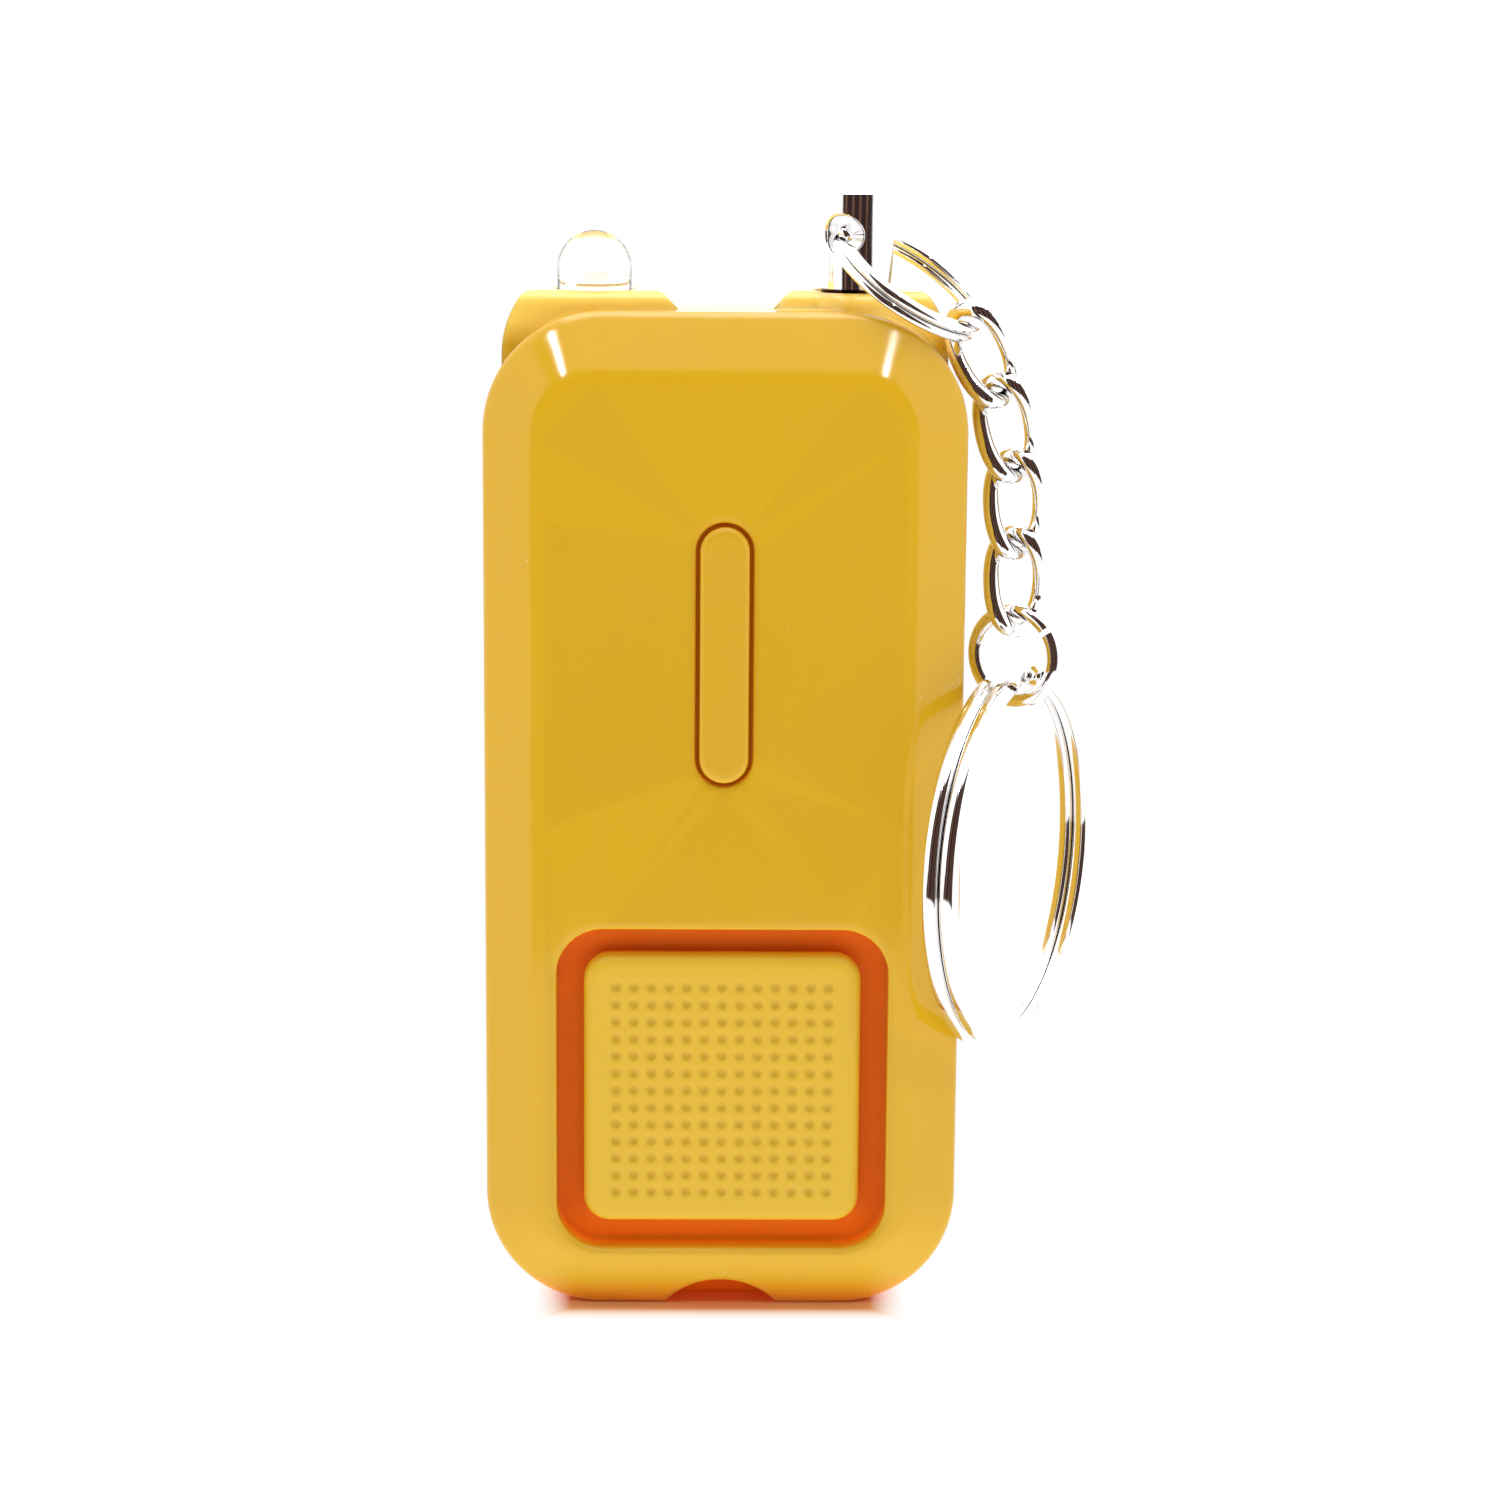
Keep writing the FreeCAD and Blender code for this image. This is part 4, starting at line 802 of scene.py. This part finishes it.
# %% The tent's opening
OPENING_LEFT = math.radians(-52)
OPENING_RIGHT = math.radians(46)
OPENING_EDGE = math.radians(1.5)
DARK_ROOM = (0.036, 0.020, 0.020, 1.0)
ROOM_UPRIGHT = (0.20, 0.105, 0.065, 1.0)
ROOM_STRIPES = 16.0
UPRIGHT_BAND = (0.55, 0.95)


def bearing_of(n, x, y):
    """The angle round the case, from straight in front of it and growing to the right."""
    return n.maths("ARCTAN2", x, n.maths("MULTIPLY", y, -1.0))


def in_opening(n, bearing, curve="LINEAR"):
    """1 between the two sides of the opening, 0 beside it."""
    left_side = (OPENING_LEFT - OPENING_EDGE, OPENING_LEFT + OPENING_EDGE)
    right_side = (OPENING_RIGHT - OPENING_EDGE, OPENING_RIGHT + OPENING_EDGE)
    past_left = n.ramp(bearing, *left_side, curve=curve)
    return n.maths("MULTIPLY", past_left, n.ramp(bearing, *right_side, 1.0, 0.0, curve))


def room(n, bearing, curve="LINEAR"):
    """The colour of the dark room, with its paler uprights."""
    wave = n.maths("SINE", n.maths("MULTIPLY", bearing, ROOM_STRIPES))
    return n.mix(n.ramp(wave, *UPRIGHT_BAND, curve=curve), DARK_ROOM, ROOM_UPRIGHT)


print("opening, degrees:", round(math.degrees(OPENING_RIGHT - OPENING_LEFT)))

# %% [markdown]
# ## Floor
#
# The ground runs up into white with no edge, and only a faint warm shadow shows where the case
# stands. A plain white plane would turn grey away from the lamps, so the floor is really lit only
# close to the case, for the shadow, and turns into a white that shines by itself. Under the foot
# the yellow case colours the little light that gets there, and a painted warm shadow darkens and
# tints the floor there. As light on the case it is brighter than the white that the camera sees,
# as lamplit ground in a tent is.

# %% Floor
FLOOR_HALF = 3.0
BASE_HALF_X = 12.2 * MM
BASE_HALF_Y = 7.4 * MM
FADE_BAND = (0.2 * MM, 3.0 * MM)
# How far from the foot the painted warm shadow reaches.
WARM_END = 3.5 * MM
FLOOR_BOUNCE = 1.75
FLOOR_SHINE = 1.1
SWEEP_BAND = (0.13, 0.14)
NEAR_FLOOR = (0.92, 0.92, 0.915, 1.0)
NEAR_FLOOR_SEEN = (1.22, 1.21, 1.20, 1.0)
# Painted warm shadow under the foot: a warm tint in the light that the floor sends up, and a
# darker, warmer colour where the camera sees it.
CONTACT_BOUNCE_TINT = (0.97, 0.80, 0.55, 1.0)
CONTACT_SHADOW_SEEN = (0.88, 0.46, 0.20, 1.0)


def lit_floor(r, seen, outside):
    """The floor that takes the real shadow, with a painted warm shadow under the foot of the case.
    """
    near = r.mix(seen, NEAR_FLOOR, NEAR_FLOOR_SEEN)
    painted_contact_shadow = r.mix(seen, CONTACT_BOUNCE_TINT, CONTACT_SHADOW_SEEN)
    colour = r.mix(r.ramp(outside, 0.0, WARM_END), painted_contact_shadow, near)
    return r.add("ShaderNodeBsdfDiffuse", Color=colour)


def white_floor():
    """White where the camera looks, lit near the case, dark to mirrors at the tent's opening."""
    r = Recipe("white_floor")
    path = r.add("ShaderNodeLightPath").outputs
    seen, glossy, diffuse = (path[f"Is {kind} Ray"] for kind in ("Camera", "Glossy", "Diffuse"))
    x, y, _ = r.split(r.place)
    outside = outside_by(r, (x, BASE_HALF_X), (y, BASE_HALF_Y))
    lit = lit_floor(r, seen, outside)
    bright = r.maths("ADD", 1.0, r.maths("MULTIPLY", glossy, FLOOR_SHINE - 1.0))
    bright = r.maths("ADD", bright, r.maths("MULTIPLY", diffuse, FLOOR_BOUNCE - 1.0))
    white = r.add("ShaderNodeEmission", Strength=bright)
    shines = path["Is Transmission Ray"]
    for ray in (seen, glossy, diffuse):
        shines = r.maths("MAXIMUM", shines, ray)
    share = r.maths("MULTIPLY", r.ramp(outside, *FADE_BAND), shines)
    away = r.add("ShaderNodeVectorMath", {"operation": "LENGTH"})
    r.feed(away.inputs[0], r.place)
    beyond = r.maths("MULTIPLY", r.ramp(away.outputs["Value"], *SWEEP_BAND), glossy)
    bearing = bearing_of(r, x, y)
    dark = r.add("ShaderNodeEmission", Color=room(r, bearing))
    past = r.maths("MULTIPLY", in_opening(r, bearing), beyond)
    shown = r.either(past, r.either(share, lit, white), dark)
    r.feed(r.tree.nodes["Material Output"].inputs["Surface"], shown.outputs[0])
    return r.material


floor_mesh = bpy.data.meshes.new("floor")
bm = bmesh.new()
bmesh.ops.create_grid(bm, x_segments=1, y_segments=1, size=FLOOR_HALF)
bm.to_mesh(floor_mesh)
bm.free()
floor = bpy.data.objects.new("floor", floor_mesh)
scene.collection.objects.link(floor)
floor_mesh.materials.append(white_floor())
print("floor half width, m:", FLOOR_HALF)

# %% [markdown]
# ## The tent
#
# The cloth of the tent is the world: one even white that the camera and clear pieces see as it
# is. As light on the case it is weaker, and weakest from the opening. Mirrors see it brighter,
# with the dark room in its opening. Light Path tells these rays apart, which a picture of a tent
# on the world could not do.

# %% The tent
WHITE = (1.0, 1.0, 1.0, 1.0)
TENT_FILL = 0.70
OPENING_FILL = 0.20
SIDE_GLARE = 1.35
OPENING_TOP_BAND = (0.75, 0.80)

world = bpy.data.worlds.new("tent")
scene.world = world
world.use_nodes = True
tent = Nodes(world.node_tree)
tent.tree.nodes.clear()


def cloth(colour, strength=1.0):
    return tent.add("ShaderNodeBackground", Color=colour, Strength=strength)


x, y, z = tent.split(tent.add("ShaderNodeTexCoord").outputs["Generated"])
path = tent.add("ShaderNodeLightPath").outputs
bearing = bearing_of(tent, x, y)
below_top = tent.ramp(z, *OPENING_TOP_BAND, 1.0, 0.0, "SMOOTHSTEP")
opening = tent.maths("MULTIPLY", in_opening(tent, bearing, "SMOOTHSTEP"), below_top)
mirrored = tent.either(opening, cloth(WHITE, SIDE_GLARE), cloth(room(tent, bearing, "SMOOTHSTEP")))
spread = tent.either(opening, cloth(WHITE, TENT_FILL), cloth(WHITE, OPENING_FILL))
unseen = tent.either(path["Is Glossy Ray"], spread, mirrored)
clear_ray = tent.maths("MAXIMUM", path["Is Camera Ray"], path["Is Transmission Ray"])
backdrop = tent.either(clear_ray, unseen, cloth(WHITE))
tent.add("ShaderNodeOutputWorld", Surface=backdrop.outputs[0])
print("tent fill:", TENT_FILL, "from the opening:", OPENING_FILL)

# %% [markdown]
# ## Lamps
#
# Two small lamps high in front draw the sharp white streaks on the upper corners of the case. One
# wide lamp overhead brings the soft light from above. Each could follow a target with a
# constraint, but turning it once towards the middle of the case does the same with less.

# %% Lamps
LAMPS = (
    ("left_box", (-0.285, -0.329, 0.532), 0.020, 0.34),
    ("right_box", (0.262, -0.343, 0.536), 0.020, 0.34),
    ("top_box", (0.0, 0.05, 0.60), 0.45, 2.7),
)
CASE_MIDDLE = Vector((0.0, 0.0, 0.045))
for name, place, size, power in LAMPS:
    data = bpy.data.lights.new(name, "AREA")
    data.size = size
    data.energy = power
    lamp = bpy.data.objects.new(name, data)
    scene.collection.objects.link(lamp)
    lamp.location = place
    lamp.rotation_mode = "QUATERNION"
    lamp.rotation_quaternion = (CASE_MIDDLE - Vector(place)).to_track_quat("-Z", "Y")
    print("lamp", name, "W:", power)
